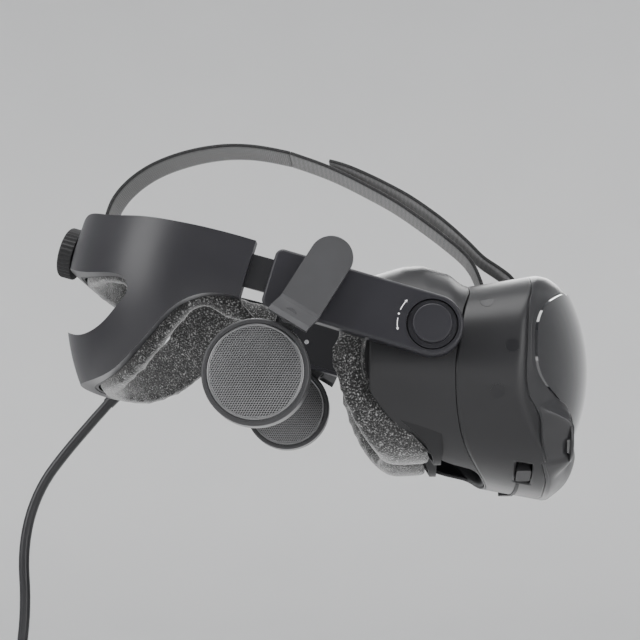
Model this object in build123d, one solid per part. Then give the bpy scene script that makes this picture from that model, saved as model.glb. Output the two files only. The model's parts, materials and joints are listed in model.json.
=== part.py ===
from build123d import *
import math
import os

os.makedirs("parts", exist_ok=True)

# Millimetres. +X is forward, +Y is the wearer's left, +Z is up.
# The origin is the centre of the space for the wearer's head, on the middle plane.

# Hinge between the head band and the display housing
BAND_X = 119.5
BAND_Z = -27.5
BAND_PITCH = 16.3          # the band slopes down to the front by this angle
HINGE_U = -1.25            # hinge centre in the band's own frame
HINGE_N = -1.1
HUB_R = 12.0
SHAFT_R = 3.0
RUN_GAP = 0.05             # radial gap of a running fit
GAP = 0.3                  # gap between bodies that move past each other

# Side arms, in the band's own frame
ARM_OUT = 92.0
ARM_IN = 83.5
ARM_REAR = -91.5
ARM_TOP = 17.2
ARM_BOTTOM = -15.4
BOSS_R = 16.5
ARM_WALL = 2.0
LINER = 1.0
DIAL_RECESS_R = 13.6
RECESS_FLOOR = 88.5
DIAL_CAP_R = 10.3
DIAL_TOP = 95.8
SCREW_U = (-60.0, -82.0)

# Rack strips that carry the cradle
STRIP_IN = 84.6
STRIP_OUT = 86.8
STRIP_LOW = -7.5
STRIP_HIGH = 11.0
STRIP_REAR = -138.0
STRIP_FRONT = -52.0
TOOTH_PITCH = 4.0

# Rear cradle, in the band's own frame
CRADLE_R = 91.5
CRADLE_U = -129.5
CRADLE_FRONT = -103.5
BEND_R = 130.0             # the lower lobe leans in to the neck on this radius
BEND_START = 4.0
BEND_SWEEP = 50.0
CASING_WALL = 2.5
CASING_DEPTH = 7.1
FRAME_DEPTH = 9.2
PAD_DEPTH = 19.4
CRADLE_TOP = [(-103.5, 17.4), (-124, 17.6), (-147, 16.9), (-171, 16.1), (-193, 15.4),
              (-206, 17.2), (-213, 17.0), (-218, 14.0), (-222, 8.0), (-232, -8.0)]
CRADLE_LOW = [(-103.5, -14.3), (-111, -14.6), (-121.2, -16.8), (-130.3, -21.8), (-138.6, -30.5),
              (-146.8, -44.1), (-154.3, -55.6), (-163.1, -66.1), (-175.4, -73.2), (-188, -76.2),
              (-232, -74.0)]
PAD_TOP = [(-103.7, 16.4), (-124, 16.8), (-147, 16.1), (-171, 15.3), (-193, 14.6), (-206, 16.2),
           (-213, 16.0), (-218, 13.0), (-222, 7.0), (-232, -9.0)]
PAD_LOW = [(-103.7, -17.5), (-111.5, -18.5), (-119.8, -20.5), (-126.9, -26.1), (-133.0, -34.7),
           (-140.0, -48.3), (-147.9, -60.4), (-158.3, -71.9), (-173.2, -78.8), (-187.6, -81.0), (-232, -78.5)]
PAD_TAB = [(-112.0, -14.0), (-98.0, -16.0), (-93.0, -18.5), (-92.6, -22.5), (-96.0, -25.5), (-114.0, -25.0)]
MOUTH = [(-236, -9.5), (-219.4, -12.3), (-203, -17.6), (-187, -18.0), (-176, -17.5), (-168.4, -19.6),
         (-165.1, -24.5), (-168.6, -33.3), (-173.5, -41.0), (-180.5, -47.8), (-190.5, -51.8),
         (-207.8, -49.0), (-236, -43.0)]

# Crown wheel at the back
KNOB_R = 15.5
KNOB_N = 0.3
KNOB_INNER = -221.4
KNOB_THICK = 9.0
KNOB_RIBS = 36
PINION_TIP_R = 6.8
PINION_ROOT_R = 5.2
PINION_TEETH = 12
PINION_THICK = 3.2

# Ear speakers
EAR_RIGHT = (26.9, -54.9)
EAR_LEFT = (27.1, -46.3)
LEFT_SLIDE = 6.0           # the left hanger sits this much higher on its rail
EAR_R = 28.0
EAR_OUT = 107.0
EAR_IN = 95.5
GRILLE_R = 25.2
GRILLE_RISE = 2.2
SWIVEL_X = 54.0
SWIVEL_Z = -7.0
HANGER_ANGLE = 58.0
HANGER_UP = 28.5
HANGER_DOWN = 13.5
HANGER_W = 23.2
HANGER_SHIFT = -3.0
HANGER_T = 2.2
HANGER_IN = 100.0
BALL = (44.0, -103.2, -26.2)
BALL_R = 3.0
CUP_R = 4.2

# Display housing
DOME_X = 110.0
DOME_Z = -38.0
DOME_R = 99.4
SHELL = 2.2
SLEEVE_DROP = 5.6          # the roof slopes, so the sleeve stays this far under it
EYE_Z = -38.0
EYE_Y = 31.5
BARREL_R = 26.0
ROD_X = 158.0
ROD_RISE = 30.0
HOUSING_LOW = [(82.3, -53.0), (78.5, -68.0), (71.0, -82.0), (60.5, -94.5), (45.0, -105.0), (25.0, -112.0),
               (0, -114.0)]
HOUSING_HALF = [(0, 17.0), (20, 15.4), (40, 10.4), (54, 5.0), (64, -1.5), (73, -11.0), (79.5, -23.0),
                (82.5, -38.0)] + HOUSING_LOW
BROW_HALF = [(0, 20.0), (20, 18.5), (40, 13.5), (54, 7.6), (66, -1.0), (75, -12.0), (80.3, -24.0),
             (82.5, -38.0)] + HOUSING_LOW
HOUSING_ROOF = [(90, -5.0), (131, 5.0), (140, 8.0), (150, 10.4), (163, 12.2), (172, 12.6), (180, 11.6),
                (188, 8.8), (197, 4.0), (220, -8.0)]
BROW_ROOF = [(40, -12.0), (60, -4.0), (80, 2.5), (90, 6.5), (100, 11.0), (107, 14.3), (113, 14.6),
             (119, 11.5), (128, 6.8), (135, 4.6), (142, 3.0), (155, 1.0)]
FRONT_PROFILE = [(60.0, 17.5), (70.0, 15.0), (79.0, 11.3), (83.5, 8.5), (87.0, 5.8), (90.0, 1.5),
                 (92.3, -4.0), (95.8, -12.0), (98.3, -24.0), (99.4, -38.0), (98.3, -52.0), (96.3, -63.0),
                 (93.9, -74.0), (92.3, -84.0), (91.0, -92.0), (88.8, -99.0), (85.0, -105.5),
                 (79.0, -111.0), (70.0, -116.0), (60.0, -120.0)]
REAR_EDGE = [(88, 30), (85.0, -15), (84.8, -36.4), (84.6, -58.4), (89.3, -67.7), (101.5, -80.9),
             (116.7, -91.8), (129.6, -97.3), (141.8, -100.7), (155, -112)]
SEAM = [(140, 30), (139.5, 0), (138.9, -7), (136.7, -13.8), (135.0, -20.0), (131.8, -37), (130.3, -47),
        (130.1, -60), (131, -72), (133.4, -83.5), (137.4, -92.3), (143.7, -101), (152, -110), (165, -125)]
BEZEL_SEAM = [(173.6, 30), (173.1, -2.3), (170.9, -12.3), (168.9, -29.9), (167.5, -51.7), (168.8, -63.6),
              (173.0, -70.0), (175.6, -76.0), (176.1, -87.1), (178.0, -94.0), (181.3, -102.0),
              (184.3, -108.0), (188.0, -125.0)]
COVER_HALF = [(0, 1.5), (25, 0.7), (45, -2.8), (57, -7.5), (68, -14.5), (75, -25.0), (77.2, -36.0),
              (76.6, -46.0), (73.0, -54.0), (65.0, -60.5), (52.0, -67.0), (42.0, -71.5),
              (34.0, -79.0), (26.0, -87.0), (14.0, -91.0), (0, -92.0)]
CAMERA_Y = 50.0
CAMERA_Z = -83.2
CAMERA_BOSS_R = 12.4
CAMERA_R = 10.8
CAMERA_FACE = 193.8
STRAP_SLOT = (140.5, 172.6)
STRAP_HALF = 13.5
IPD_Y = -43.5
IPD_Z = -102.9
IPD_SLOPE = -24.0
BUTTON_Y = 30.0
BUTTON_X = 164.0
BUTTON_LOW = -109.8
SCREW_SPOTS = ((74.5, -30.0), (69.0, -71.0))

# Face gasket
FACE_R = 117.0
FACE_X = -25.0
CUSHION_WIDTH = 13.0
GASKET_HALF = [(0, 15.5), (20, 14.2), (40, 9.6), (54, 3.4), (65, -6.0), (72.5, -18.0), (76.5, -32.0),
               (76.6, -52.0), (73.0, -68.0), (66.0, -82.0), (56.0, -93.0), (44.0, -98.0), (30.0, -96.0),
               (15.0, -87.0), (0, -82.0)]
GASKET_REAR = [(72, 30), (70.3, -15), (64.3, -33), (63.6, -49), (68.4, -62), (76.0, -78.0), (86.5, -91.0),
             (99.0, -101.0), (114, -112)]
CUSHION_FRONT = [(91.0, 30), (89.3, -15), (83.3, -33), (82.6, -49), (87.0, -60), (95.5, -71), (106.0, -80),
                 (115.0, -89), (118.0, -112)]
GASKET_FRONT = 120.0
GASKET_FRAME_FRONT = 123.0

# Top strap
STRAP_T = 2.0
STRAP_REAR_LINE = [(-76.4, 43.5), (-74.6, 53.9), (-73.8, 58.5), (-71.0, 66.8), (-64.7, 75.5), (-56.0, 83.2),
                   (-44.9, 89.9), (-29.1, 95.6), (-13.7, 98.8), (1.7, 100.1), (21.4, 98.2), (36.8, 94.1),
                   (52.1, 88.6)]
STRAP_FRONT_LINE = [(67.4, 81.6), (82.6, 73.2), (99.8, 63.2), (117.9, 49.6), (131.2, 38.7),
                    (140.8, 30.0), (146.0, 22.7), (149.3, 14.0), (151.8, 5.5), (156.2, -0.2),
                    (162.0, -2.2), (167.4, 0.4), (170.3, 8.5)]
STRAP_BACK_LINE = [(168.8, 14.5), (160.0, 21.5), (151.0, 27.5), (143.8, 36.0), (128.4, 51.0),
                   (110.6, 64.6), (99.3, 71.4), (83.8, 79.8), (68.0, 87.0), (60.4, 88.6)]
STRAP_LOOP = [(149.4, 24.2), (151.6, 14.8), (153.6, 6.6), (157.4, 1.0), (162.0, -1.0), (166.2, 1.2),
              (168.2, 8.6), (166.6, 13.0), (158.6, 19.4)]
BAR_X = 162.0
BAR_Z = 2.0
BAR_R = 2.2

# Cord
CORD_D = 6.6
CORD_Y = 60.0
CORD_ROUTE = [(-85.6, 60, -48.2), (-113.0, 60, -79.5), (-130.5, 61, -106.0), (-137.5, 61, -139.0),
              (-133.0, 60, -176.0), (-135.8, 60, -214.0), (-135.8, 60, -246.0)]
RELIEF_START = (-64.5, 60.0, -25.2)
COIL_X = -77.6
COIL_Z = -275.0
COIL_R = 48.0
COIL_SECTION = 27.0
PLUG_SIZE = (44.0, 12.0, 18.0)

BAND = Location((BAND_X, 0, BAND_Z), (0, BAND_PITCH, 0))
HINGE = BAND * Pos(HINGE_U, 0, HINGE_N)
PIVOT_X = HINGE.position.X
PIVOT_Z = HINGE.position.Z


def rod(start, end, radius):
    """Round bar between two points."""
    run = Vector(*end) - Vector(*start)
    base = Plane(origin=start, z_dir=run)
    return base * Pos(0, 0, run.length / 2) * Cylinder(radius, run.length)


def cone(start, end, radius_start, radius_end):
    """Tapered round bar between two points."""
    run = Vector(*end) - Vector(*start)
    base = Plane(origin=start, z_dir=run)
    return base * Pos(0, 0, run.length / 2) * Cone(radius_start, radius_end, run.length)


def block(low, high):
    """Box between two corners."""
    size = [b - a for a, b in zip(low, high)]
    middle = [(a + b) / 2 for a, b in zip(low, high)]
    return Pos(*middle) * Box(*size)


def shift_chain(points, distance):
    """Chain of points moved to the right of its own direction."""
    last = len(points) - 1
    moved = []
    for index, point in enumerate(points):
        before = points[max(index - 1, 0)]
        after = points[min(index + 1, last)]
        run = (after[0] - before[0], after[1] - before[1])
        length = math.hypot(*run)
        moved.append((point[0] + distance * run[1] / length, point[1] - distance * run[0] / length))
    return moved


def between(upper, lower):
    """Face between two smooth chains that start at the same end."""
    edges = [Spline(*upper), Line(upper[-1], lower[-1]), Spline(*lower), Line(lower[0], upper[0])]
    return make_face(Curve() + edges)


def closed_half(half, inset=0.0):
    """Symmetric closed face from the right half of its outline, top to bottom."""
    right = shift_chain(half, inset)
    right[0] = (0, right[0][1])
    right[-1] = (0, right[-1][1])
    left = [(-y, z) for y, z in right[-2:0:-1]]
    return make_face(Spline(*right, *left, periodic=True))


def along_x(face, start, end):
    """Face drawn in Y and Z, run along X."""
    return extrude(Plane.YZ.offset(start) * face, amount=end - start)


def across(face, reach=130.0):
    """Face drawn in X and Z, run to both sides of the middle plane."""
    return extrude(Plane.XZ * face, amount=reach, both=True)


def side_slab(face, inner, outer):
    """Face drawn in X and Z, run to the wearer's right between two distances."""
    return extrude(Plane.XZ.offset(inner) * face, amount=outer - inner)


def region(chain, far_x, top=40.0, bottom=-140.0):
    """Everything between an edge curve and a far X, as a solid across the part."""
    points = [(far_x, top)] + [(x, z) for x, z in chain] + [(far_x, bottom)]
    return across(make_face(Polyline(*points, close=True)))


def region_smooth(chain, far_x):
    """As region, with the edge as one smooth curve."""
    edge = Spline(*chain)
    close = Polyline(chain[-1], (far_x, chain[-1][1]), (far_x, chain[0][1]), chain[0])
    return across(make_face(Curve() + [edge, close]))


# ---------------------------------------------------------------- side arms

def arm_outline(inset=0.0):
    """Side shape of an arm: a bar that ends in a round boss at the hinge."""
    reach = BOSS_R - inset
    rear = ARM_REAR + inset
    bar = Polyline((rear, ARM_TOP - inset), (HINGE_U, HINGE_N + reach), (HINGE_U, HINGE_N - reach),
                   (rear, ARM_BOTTOM + inset), close=True)
    face = make_face(bar)
    rear_corners = face.vertices().sort_by(Axis.X)[:2]
    return fillet(rear_corners, 4.2 - inset) + Pos(HINGE_U, HINGE_N) * Circle(reach)


def strip_window(clearance, inner, outer, rear, front):
    """Passage for a rack strip."""
    return block((rear, -outer, STRIP_LOW - clearance), (front, -inner, STRIP_HIGH + clearance))


def hinge_rod(inner, outer, radius, shift=0.0):
    """Round bar on the hinge's line, in the band's own frame."""
    return rod((HINGE_U + shift, -inner, HINGE_N), (HINGE_U + shift, -outer, HINGE_N), radius)


def swivel_rod(outer, inner, radius):
    """Round bar on the ear speaker's swivel line."""
    return rod((SWIVEL_X, -outer, SWIVEL_Z), (SWIVEL_X, -inner, SWIVEL_Z), radius)


def side_arm():
    """Right arm's outer shell, with the recess for the dial."""
    body = side_slab(arm_outline(), ARM_IN, ARM_OUT)
    outer_edges = body.faces().sort_by(Axis.Y)[0].edges()
    body = fillet(outer_edges, 1.8)
    body -= side_slab(arm_outline(ARM_WALL), ARM_IN, ARM_OUT - ARM_WALL)
    body += hinge_rod(ARM_IN, ARM_OUT - 1, DIAL_RECESS_R + 2)
    body -= hinge_rod(RECESS_FLOOR, ARM_OUT + 1, DIAL_RECESS_R)
    body -= hinge_rod(ARM_IN - 1, ARM_OUT, HUB_R + RUN_GAP)
    body -= strip_window(0.2, STRIP_IN - 0.3, STRIP_OUT + 0.3, ARM_REAR - 2, ARM_REAR + 5)
    body = BAND * body
    body += swivel_rod(ARM_OUT - 1, ARM_OUT - 4.6, 6)
    return body - swivel_rod(ARM_OUT + 1, ARM_OUT - 5, SHAFT_R + RUN_GAP)


def arm_liner():
    """Right arm's inner plate."""
    plate = side_slab(arm_outline(ARM_WALL + 0.1), ARM_IN, ARM_IN + LINER)
    plate -= hinge_rod(ARM_IN - 1, ARM_OUT, DIAL_RECESS_R + 2.1)
    for u in SCREW_U:
        plate -= rod((u, -ARM_IN + 1, 0), (u, -ARM_OUT, 0), 1.6)
    return BAND * plate


def rack_strip():
    """Right rack strip: fixed in the arm, and slides in the cradle."""
    strip = block((STRIP_REAR, -STRIP_OUT, STRIP_LOW), (STRIP_FRONT, -STRIP_IN, STRIP_HIGH))
    for step in range(7):
        u = STRIP_REAR + 4 + step * TOOTH_PITCH
        strip -= block((u, -STRIP_OUT - 1, STRIP_LOW - 1), (u + 2, -STRIP_IN + 1, STRIP_LOW + 1.6))
    for u in SCREW_U:
        strip -= rod((u, -STRIP_IN + 1, 0), (u, -STRIP_OUT - 1, 0), 1.6)
    return BAND * strip


def arm_screws():
    """Screws that hold liner, strip and shell together, on both sides."""
    screws = Part()
    for side in (-1, 1):
        for u in SCREW_U:
            screws += rod((u, side * (ARM_IN + 0.1), 0), (u, side * (ARM_OUT - ARM_WALL), 0), 1.5)
    return BAND * screws


def hinge_cap():
    """Fixed cap that fills the left arm's recess."""
    base = hinge_rod(RECESS_FLOOR, 91.2, DIAL_RECESS_R - 0.1)
    cap = hinge_rod(91.2, DIAL_TOP, DIAL_CAP_R)
    cap = fillet(cap.faces().sort_by(Axis.Y)[0].edges(), 0.9)
    return BAND * (base + cap)


def eye_relief_dial():
    """Right dial with the shaft and cam that move the display housing."""
    base = hinge_rod(RECESS_FLOOR + GAP, 91.0, DIAL_RECESS_R - 0.7)
    cap = hinge_rod(90.5, DIAL_TOP, DIAL_CAP_R)
    cap = fillet(cap.faces().sort_by(Axis.Y)[0].edges(), 0.9)
    shaft = hinge_rod(RECESS_FLOOR + 1, 70.0, SHAFT_R)
    cam = hinge_rod(70.0, 73.5, 7.0, shift=2.0)
    return BAND * (base + cap + shaft + cam)


# ---------------------------------------------------------------- cradle

def cradle_wall(outer, inner):
    """Full-height curved wall between two depths below the cradle's skin."""
    centre = (CRADLE_R - BEND_R, BEND_START)
    outer_arc = CenterArc(centre, BEND_R - outer, 0, -BEND_SWEEP)
    inner_arc = CenterArc(centre, BEND_R - inner, 0, -BEND_SWEEP)
    top = 40.0
    outer_top = (CRADLE_R - outer, top)
    inner_top = (CRADLE_R - inner, top)
    edges = [Line(outer_top, (CRADLE_R - outer, BEND_START)), outer_arc, Line(outer_arc @ 1, inner_arc @ 1),
             inner_arc, Line((CRADLE_R - inner, BEND_START), inner_top), Line(inner_top, outer_top)]
    face = Plane.YZ * make_face(Curve() + edges)
    back = revolve(face, Axis.Z, 180)
    side = extrude(face, amount=CRADLE_FRONT - CRADLE_U + 10)
    return Pos(CRADLE_U, 0, 0) * (back + side + mirror(side, Plane.XZ))


def cradle_profile(inset):
    """Side shape of the cradle with its open mouth, as a solid across the part."""
    top = shift_chain(CRADLE_TOP, -inset)
    low = shift_chain(CRADLE_LOW, inset)
    front = CRADLE_FRONT - inset
    top = [(min(u, front), n) for u, n in top]
    low = [(min(u, front), n) for u, n in low]
    return across(between(top, low)) - mouth(inset)


def mouth(inset):
    """Opening in the back for a pony tail, as a solid across the part."""
    edge = shift_chain(MOUTH, -inset)
    return across(make_face(Curve() + [Spline(*edge), Line(edge[-1], edge[0])]))


def rear_casing():
    """Outer moulding of the cradle, open on its inner side."""
    body = cradle_wall(0, CASING_DEPTH) & cradle_profile(0)
    body -= cradle_wall(CASING_WALL, CASING_DEPTH + 1) & cradle_profile(CASING_WALL)
    window = strip_window(0.4, STRIP_IN - GAP, STRIP_OUT + GAP, CRADLE_FRONT - 5, CRADLE_FRONT + 2)
    body -= window
    body -= mirror(window, Plane.XZ)
    body -= rod((KNOB_INNER - 5, 0, KNOB_N), (CRADLE_U, 0, KNOB_N), 4 + RUN_GAP)
    body = BAND * body
    return body - rod(RELIEF_START, CORD_ROUTE[0], 5.2)


def rear_frame():
    """Inner plate that closes the casing and carries the crown wheel."""
    body = cradle_wall(CASING_DEPTH + 0.05, FRAME_DEPTH) & cradle_profile(0.4)
    body -= rod((KNOB_INNER, 0, KNOB_N), (CRADLE_U, 0, KNOB_N), 2.6)
    body = BAND * body
    return body - rod(RELIEF_START, CORD_ROUTE[0], 5.2)


def rear_pad():
    """Foam pad with a cloth cover, inside the cradle."""
    profile = across(between(PAD_TOP, PAD_LOW)) - mouth(-2.5)
    profile += across(make_face(Polyline(*PAD_TAB, close=True)))
    body = cradle_wall(FRAME_DEPTH + 0.1, PAD_DEPTH) & profile
    body -= rod((KNOB_INNER, 0, KNOB_N), (CRADLE_U - 75, 0, KNOB_N), 5)
    body -= block((-213.0, -20, 5.0), (-205.5, 20, 30.0))
    return BAND * body


def crown_bearing():
    """Ring that the crown pinion turns in."""
    near = CRADLE_U - (CRADLE_R - CASING_DEPTH) - 0.05
    ring = rod((near, 0, KNOB_N), (near - 3.6, 0, KNOB_N), 10.5)
    return BAND * (ring - rod((near + 1, 0, KNOB_N), (near - 5, 0, KNOB_N), 8.3))


def crown_pinion():
    """Toothed pinion between the two racks, with its spindle."""
    points = []
    for step in range(PINION_TEETH * 2):
        radius = PINION_TIP_R if step % 2 else PINION_ROOT_R
        for offset in (-0.22, 0.22):
            angle = math.pi * (step + offset) / PINION_TEETH
            points.append((radius * math.cos(angle), radius * math.sin(angle)))
    near = CRADLE_U - (CRADLE_R - CASING_DEPTH) - GAP
    rear = near - PINION_THICK
    teeth = Pos(0, KNOB_N) * make_face(Polyline(*points, close=True))
    gear = extrude(Plane.YZ.offset(rear) * teeth, amount=PINION_THICK)
    spindle = rod((near + 3.5, 0, KNOB_N), (KNOB_INNER - 2.0, 0, KNOB_N), 2.5)
    collar = rod((rear, 0, KNOB_N), (KNOB_INNER - RUN_GAP, 0, KNOB_N), 3.9)
    return BAND * (gear + spindle + collar)


def crown_knob():
    """Ribbed wheel that tightens the cradle."""
    outer = KNOB_INNER - KNOB_THICK
    points = []
    for step in range(KNOB_RIBS * 2):
        radius = KNOB_R if step % 2 else KNOB_R - 0.7
        angle = math.pi * step / KNOB_RIBS
        points.append((radius * math.cos(angle), KNOB_N + radius * math.sin(angle)))
    ribbed = make_face(Polyline(*points, close=True))
    ribbed = extrude(Plane.YZ.offset(outer) * ribbed, amount=KNOB_THICK - GAP)
    wheel = rod((KNOB_INNER, 0, KNOB_N), (outer, 0, KNOB_N), KNOB_R + 0.1)
    wheel = fillet(wheel.faces().sort_by(Axis.X)[0].edges(), 2.4)
    wheel = wheel & ribbed
    wheel -= cone((outer - 0.1, 0, KNOB_N), (outer + 1.2, 0, KNOB_N), KNOB_R - 4, KNOB_R - 6)
    wheel -= rod((KNOB_INNER + 1, 0, KNOB_N), (KNOB_INNER - 2.1, 0, KNOB_N), 2.6)
    return BAND * wheel


def strap_anchor():
    """Slotted plate on the frame that the strap's rear end is looped through."""
    plate = block((-214.0, -19, 6.0), (-200.0, 19, 19.0)) & cradle_wall(FRAME_DEPTH + 0.05, FRAME_DEPTH + 1.2)
    return BAND * (plate - block((-215.0, -15, 12.5), (-200.0, 15, 16.5)))


# ---------------------------------------------------------------- strap

def top_strap():
    """Webbing over the head: looped round the housing's bar and doubled back."""
    half = STRAP_T / 2
    under = shift_chain(STRAP_REAR_LINE + STRAP_FRONT_LINE, half)
    second = shift_chain(STRAP_BACK_LINE, half)
    single = shift_chain(STRAP_REAR_LINE, -half)[::-1]
    chains = [Spline(*under), Line(under[-1], second[0]), Spline(*second), Line(second[-1], single[0]),
              Spline(*single), Line(single[-1], under[0])]
    body = across(make_face(Curve() + chains), STRAP_HALF)
    return body - across(make_face(Polyline(*STRAP_LOOP, close=True)), STRAP_HALF + 1)


def strap_bar():
    """Bar under the housing's top slot, with the two arms that carry it."""
    bar = rod((BAR_X, -18, BAR_Z), (BAR_X, 18, BAR_Z), BAR_R)
    for side in (-1, 1):
        low = min(side * 16.0, side * 19.0)
        bar += block((122.0, low, BAR_Z - 2.0), (BAR_X + 2.2, low + 3.0, BAR_Z + 2.0))
        bar += block((122.0, low, BAR_Z - 2.0), (128.0, low + 3.0, BAR_Z + 5.0))
    return bar


# ---------------------------------------------------------------- ear speakers

def hanger_place():
    """Frame of the hanger: its X runs up the plate, its Z points out from the head."""
    angle = math.radians(HANGER_ANGLE)
    return Plane(origin=(SWIVEL_X, -HANGER_IN, SWIVEL_Z), x_dir=(math.cos(angle), 0, math.sin(angle)),
                 z_dir=(0, -1, 0))


def speaker_pivot():
    """Swivel on the arm with the rail that the hanger slides on."""
    disc = swivel_rod(97.0, ARM_OUT + GAP, 9.0)
    pin = swivel_rod(93.0, ARM_OUT - 4.4, SHAFT_R)
    rail = hanger_place() * block((-9.0, -3.0, -3.4), (15.0, 3.0, -0.3))
    return disc + pin + rail


def speaker_hanger():
    """Bent plate that hangs the speaker, with guides for the rail and a ball cup."""
    half = HANGER_W / 2
    low = -HANGER_DOWN
    plate = block((low, -half, 0), (HANGER_UP, half, HANGER_T))
    top_edges = plate.edges().filter_by(Axis.Z).sort_by(Axis.X)[-2:]
    plate = fillet(top_edges, half - 0.2)
    bend = [(low + 1.0, 0), (low + 1.0, HANGER_T), (low - 1.0, HANGER_T + 0.6), (low - 8.0, 11.6),
            (low - 11.0, 12.8), (low - 11.6, 10.7), (low - 9.0, 9.9), (low - 1.2, -0.2)]
    lip = extrude(Plane.XZ.offset(-half) * make_face(Polyline(*bend, close=True)), amount=HANGER_W)
    plate = Pos(0, HANGER_SHIFT, 0) * (plate + lip)
    for side in (-1, 1):
        centre = side * 5.0
        plate += block((-8.0, centre - 1.6, -2.4), (24.0, centre + 1.6, 0))
    plate = hanger_place() * plate
    cup = rod((BALL[0], BALL[1] - 1.8, BALL[2]), (BALL[0], BALL[1] - 5.4, BALL[2]), CUP_R)
    return plate + cup - Pos(*BALL) * Sphere(BALL_R + RUN_GAP)


def speaker_ball():
    """Ball between the hanger's cup and the speaker's cup."""
    return Pos(*BALL) * Sphere(BALL_R)


def ear_disc(ear, inner, outer, radius):
    """Round bar on a speaker's own line between two distances from the middle plane."""
    return rod((ear[0], -inner, ear[1]), (ear[0], -outer, ear[1]), radius)


def speaker_housing(ear, ball):
    """Round speaker body, open through the middle, with its ball cup."""
    body = fillet(ear_disc(ear, EAR_IN, EAR_OUT, EAR_R).edges().filter_by(GeomType.CIRCLE), 1.4)
    lug = rod((ball[0], ball[1] + 1.8, ball[2]), (ball[0], -EAR_IN - 1.5, ball[2]), CUP_R)
    reach = math.hypot(ball[0] - ear[0], ball[2] - ear[1])
    line = Plane(origin=(ear[0], 0, ear[1]), x_dir=(ball[0] - ear[0], 0, ball[2] - ear[1]), z_dir=(0, -1, 0))
    body += lug + line * block((EAR_R - 3, -4.0, 97.0), (reach, 4.0, 101.0))
    body -= ear_disc(ear, EAR_IN - 1, EAR_OUT + 1, GRILLE_R - 1.7)
    body -= ear_disc(ear, EAR_OUT - 1.6, EAR_OUT + 1, GRILLE_R + 0.1)
    body -= ear_disc(ear, EAR_IN - 1, EAR_IN + 1.6, GRILLE_R + 0.1)
    body -= rod((ball[0], ball[1] + 1.7, ball[2]), (ball[0], -112, ball[2]), CUP_R + 1.5)
    return body - Pos(*ball) * Sphere(BALL_R + RUN_GAP)


def speaker_driver(ear):
    """Loudspeaker unit: basket, magnet and surround."""
    basket = ear_disc(ear, 98.0, 103.5, GRILLE_R - 1.8) - ear_disc(ear, 97.0, 100.5, GRILLE_R - 5)
    return basket + cone((ear[0], -97.6, ear[1]), (ear[0], -101.0, ear[1]), 8, 17)


def speaker_grille(ear, rim_y, outward):
    """Domed grille that stands out of the housing."""
    radius = (GRILLE_R ** 2 + GRILLE_RISE ** 2) / (2 * GRILLE_RISE)
    centre_y = rim_y - outward * (radius - GRILLE_RISE)
    shell = Pos(ear[0], centre_y, ear[1]) * (Sphere(radius) - Sphere(radius - 0.8))
    return shell & ear_disc(ear, -rim_y + outward * 1.2, -rim_y - outward * 5, GRILLE_R)


def speaker_set(name, side, ear, slide):
    """All parts of one ear speaker, for one side of the head."""
    up = math.radians(HANGER_ANGLE)
    move = Pos(slide * math.cos(up), 0, slide * math.sin(up))
    ball = (BALL[0] + slide * math.cos(up), BALL[1], BALL[2] + slide * math.sin(up))
    parts = {
        "speaker_pivot": speaker_pivot(),
        "speaker_hanger": move * speaker_hanger(),
        "speaker_ball": move * speaker_ball(),
        "speaker_housing": speaker_housing(ear, ball),
        "speaker_driver": speaker_driver(ear),
        "speaker_grille_outer": speaker_grille(ear, -EAR_OUT + 0.4, -1),
        "speaker_grille_inner": speaker_grille(ear, -EAR_IN - 0.4, 1),
    }
    if side > 0:
        parts = {key: mirror(shape, Plane.XZ) for key, shape in parts.items()}
    return {key + "_" + name: shape for key, shape in parts.items()}


# ---------------------------------------------------------------- display housing

def under_roof(chain, inset=0.0):
    """Everything under a sloping top line, lowered by an inset."""
    edge = Spline(*[(x, z - inset) for x, z in chain])
    first, last = edge @ 0, edge @ 1
    sides = Polyline((last.X, last.Y), (last.X, -140), (first.X, -140), (first.X, first.Y))
    return across(make_face(Curve() + [edge, sides]))


def housing_body(inset=0.0):
    """Solid of the front half's outer shape, at a depth below its skin."""
    return along_x(closed_half(HOUSING_HALF, inset), 100, 215) & under_roof(HOUSING_ROOF, inset)


def brow_body(inset=0.0):
    """Solid of the rear half's outer shape, with the raised brow, at a depth below its skin."""
    return along_x(closed_half(BROW_HALF, inset), 40, 150) & under_roof(BROW_ROOF, inset)


def seam_shift(chain, distance):
    """Edge curve moved along X."""
    return [(x + distance, z) for x, z in chain]


def inner_housing():
    """Rear half of the display housing, with the sleeve that the front half slides on."""
    skin = (brow_body() - brow_body(SHELL)) & region(REAR_EDGE, 215) & region(SEAM, 60)
    sleeve = housing_body(SHELL + 0.4) - housing_body(4.4)
    sleeve = sleeve & region(seam_shift(SEAM, -2.0), 215) & region(seam_shift(SEAM, 8.0), 60)
    sleeve = sleeve & under_roof(HOUSING_ROOF, SLEEVE_DROP)
    join = brow_body(1.2) - housing_body(4.4)
    join = join & region(seam_shift(SEAM, -7.0), 215) & region(seam_shift(SEAM, -1.5), 60)
    sleeve -= block((151.0, BUTTON_Y - 7, -120), (180, BUTTON_Y + 7, -90))
    body = skin + join + sleeve
    for side in (-1, 1):
        body -= rod((PIVOT_X, side * 70, PIVOT_Z), (PIVOT_X, side * 90, PIVOT_Z), HUB_R + 0.1)
    return body


def hinge_hub():
    """Right hub that carries the display housing in the arm's bore, with its flat seat."""
    hub = rod((PIVOT_X, -74.0, PIVOT_Z), (PIVOT_X, -RECESS_FLOOR + GAP, PIVOT_Z), HUB_R)
    seat = rod((PIVOT_X, -74.0, PIVOT_Z), (PIVOT_X, -ARM_IN + GAP, PIVOT_Z), HUB_R + 2.5)
    hub += seat - brow_body(-0.1)
    return hub - rod((PIVOT_X, -72.0, PIVOT_Z), (PIVOT_X, -90.0, PIVOT_Z), SHAFT_R + RUN_GAP)


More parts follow.
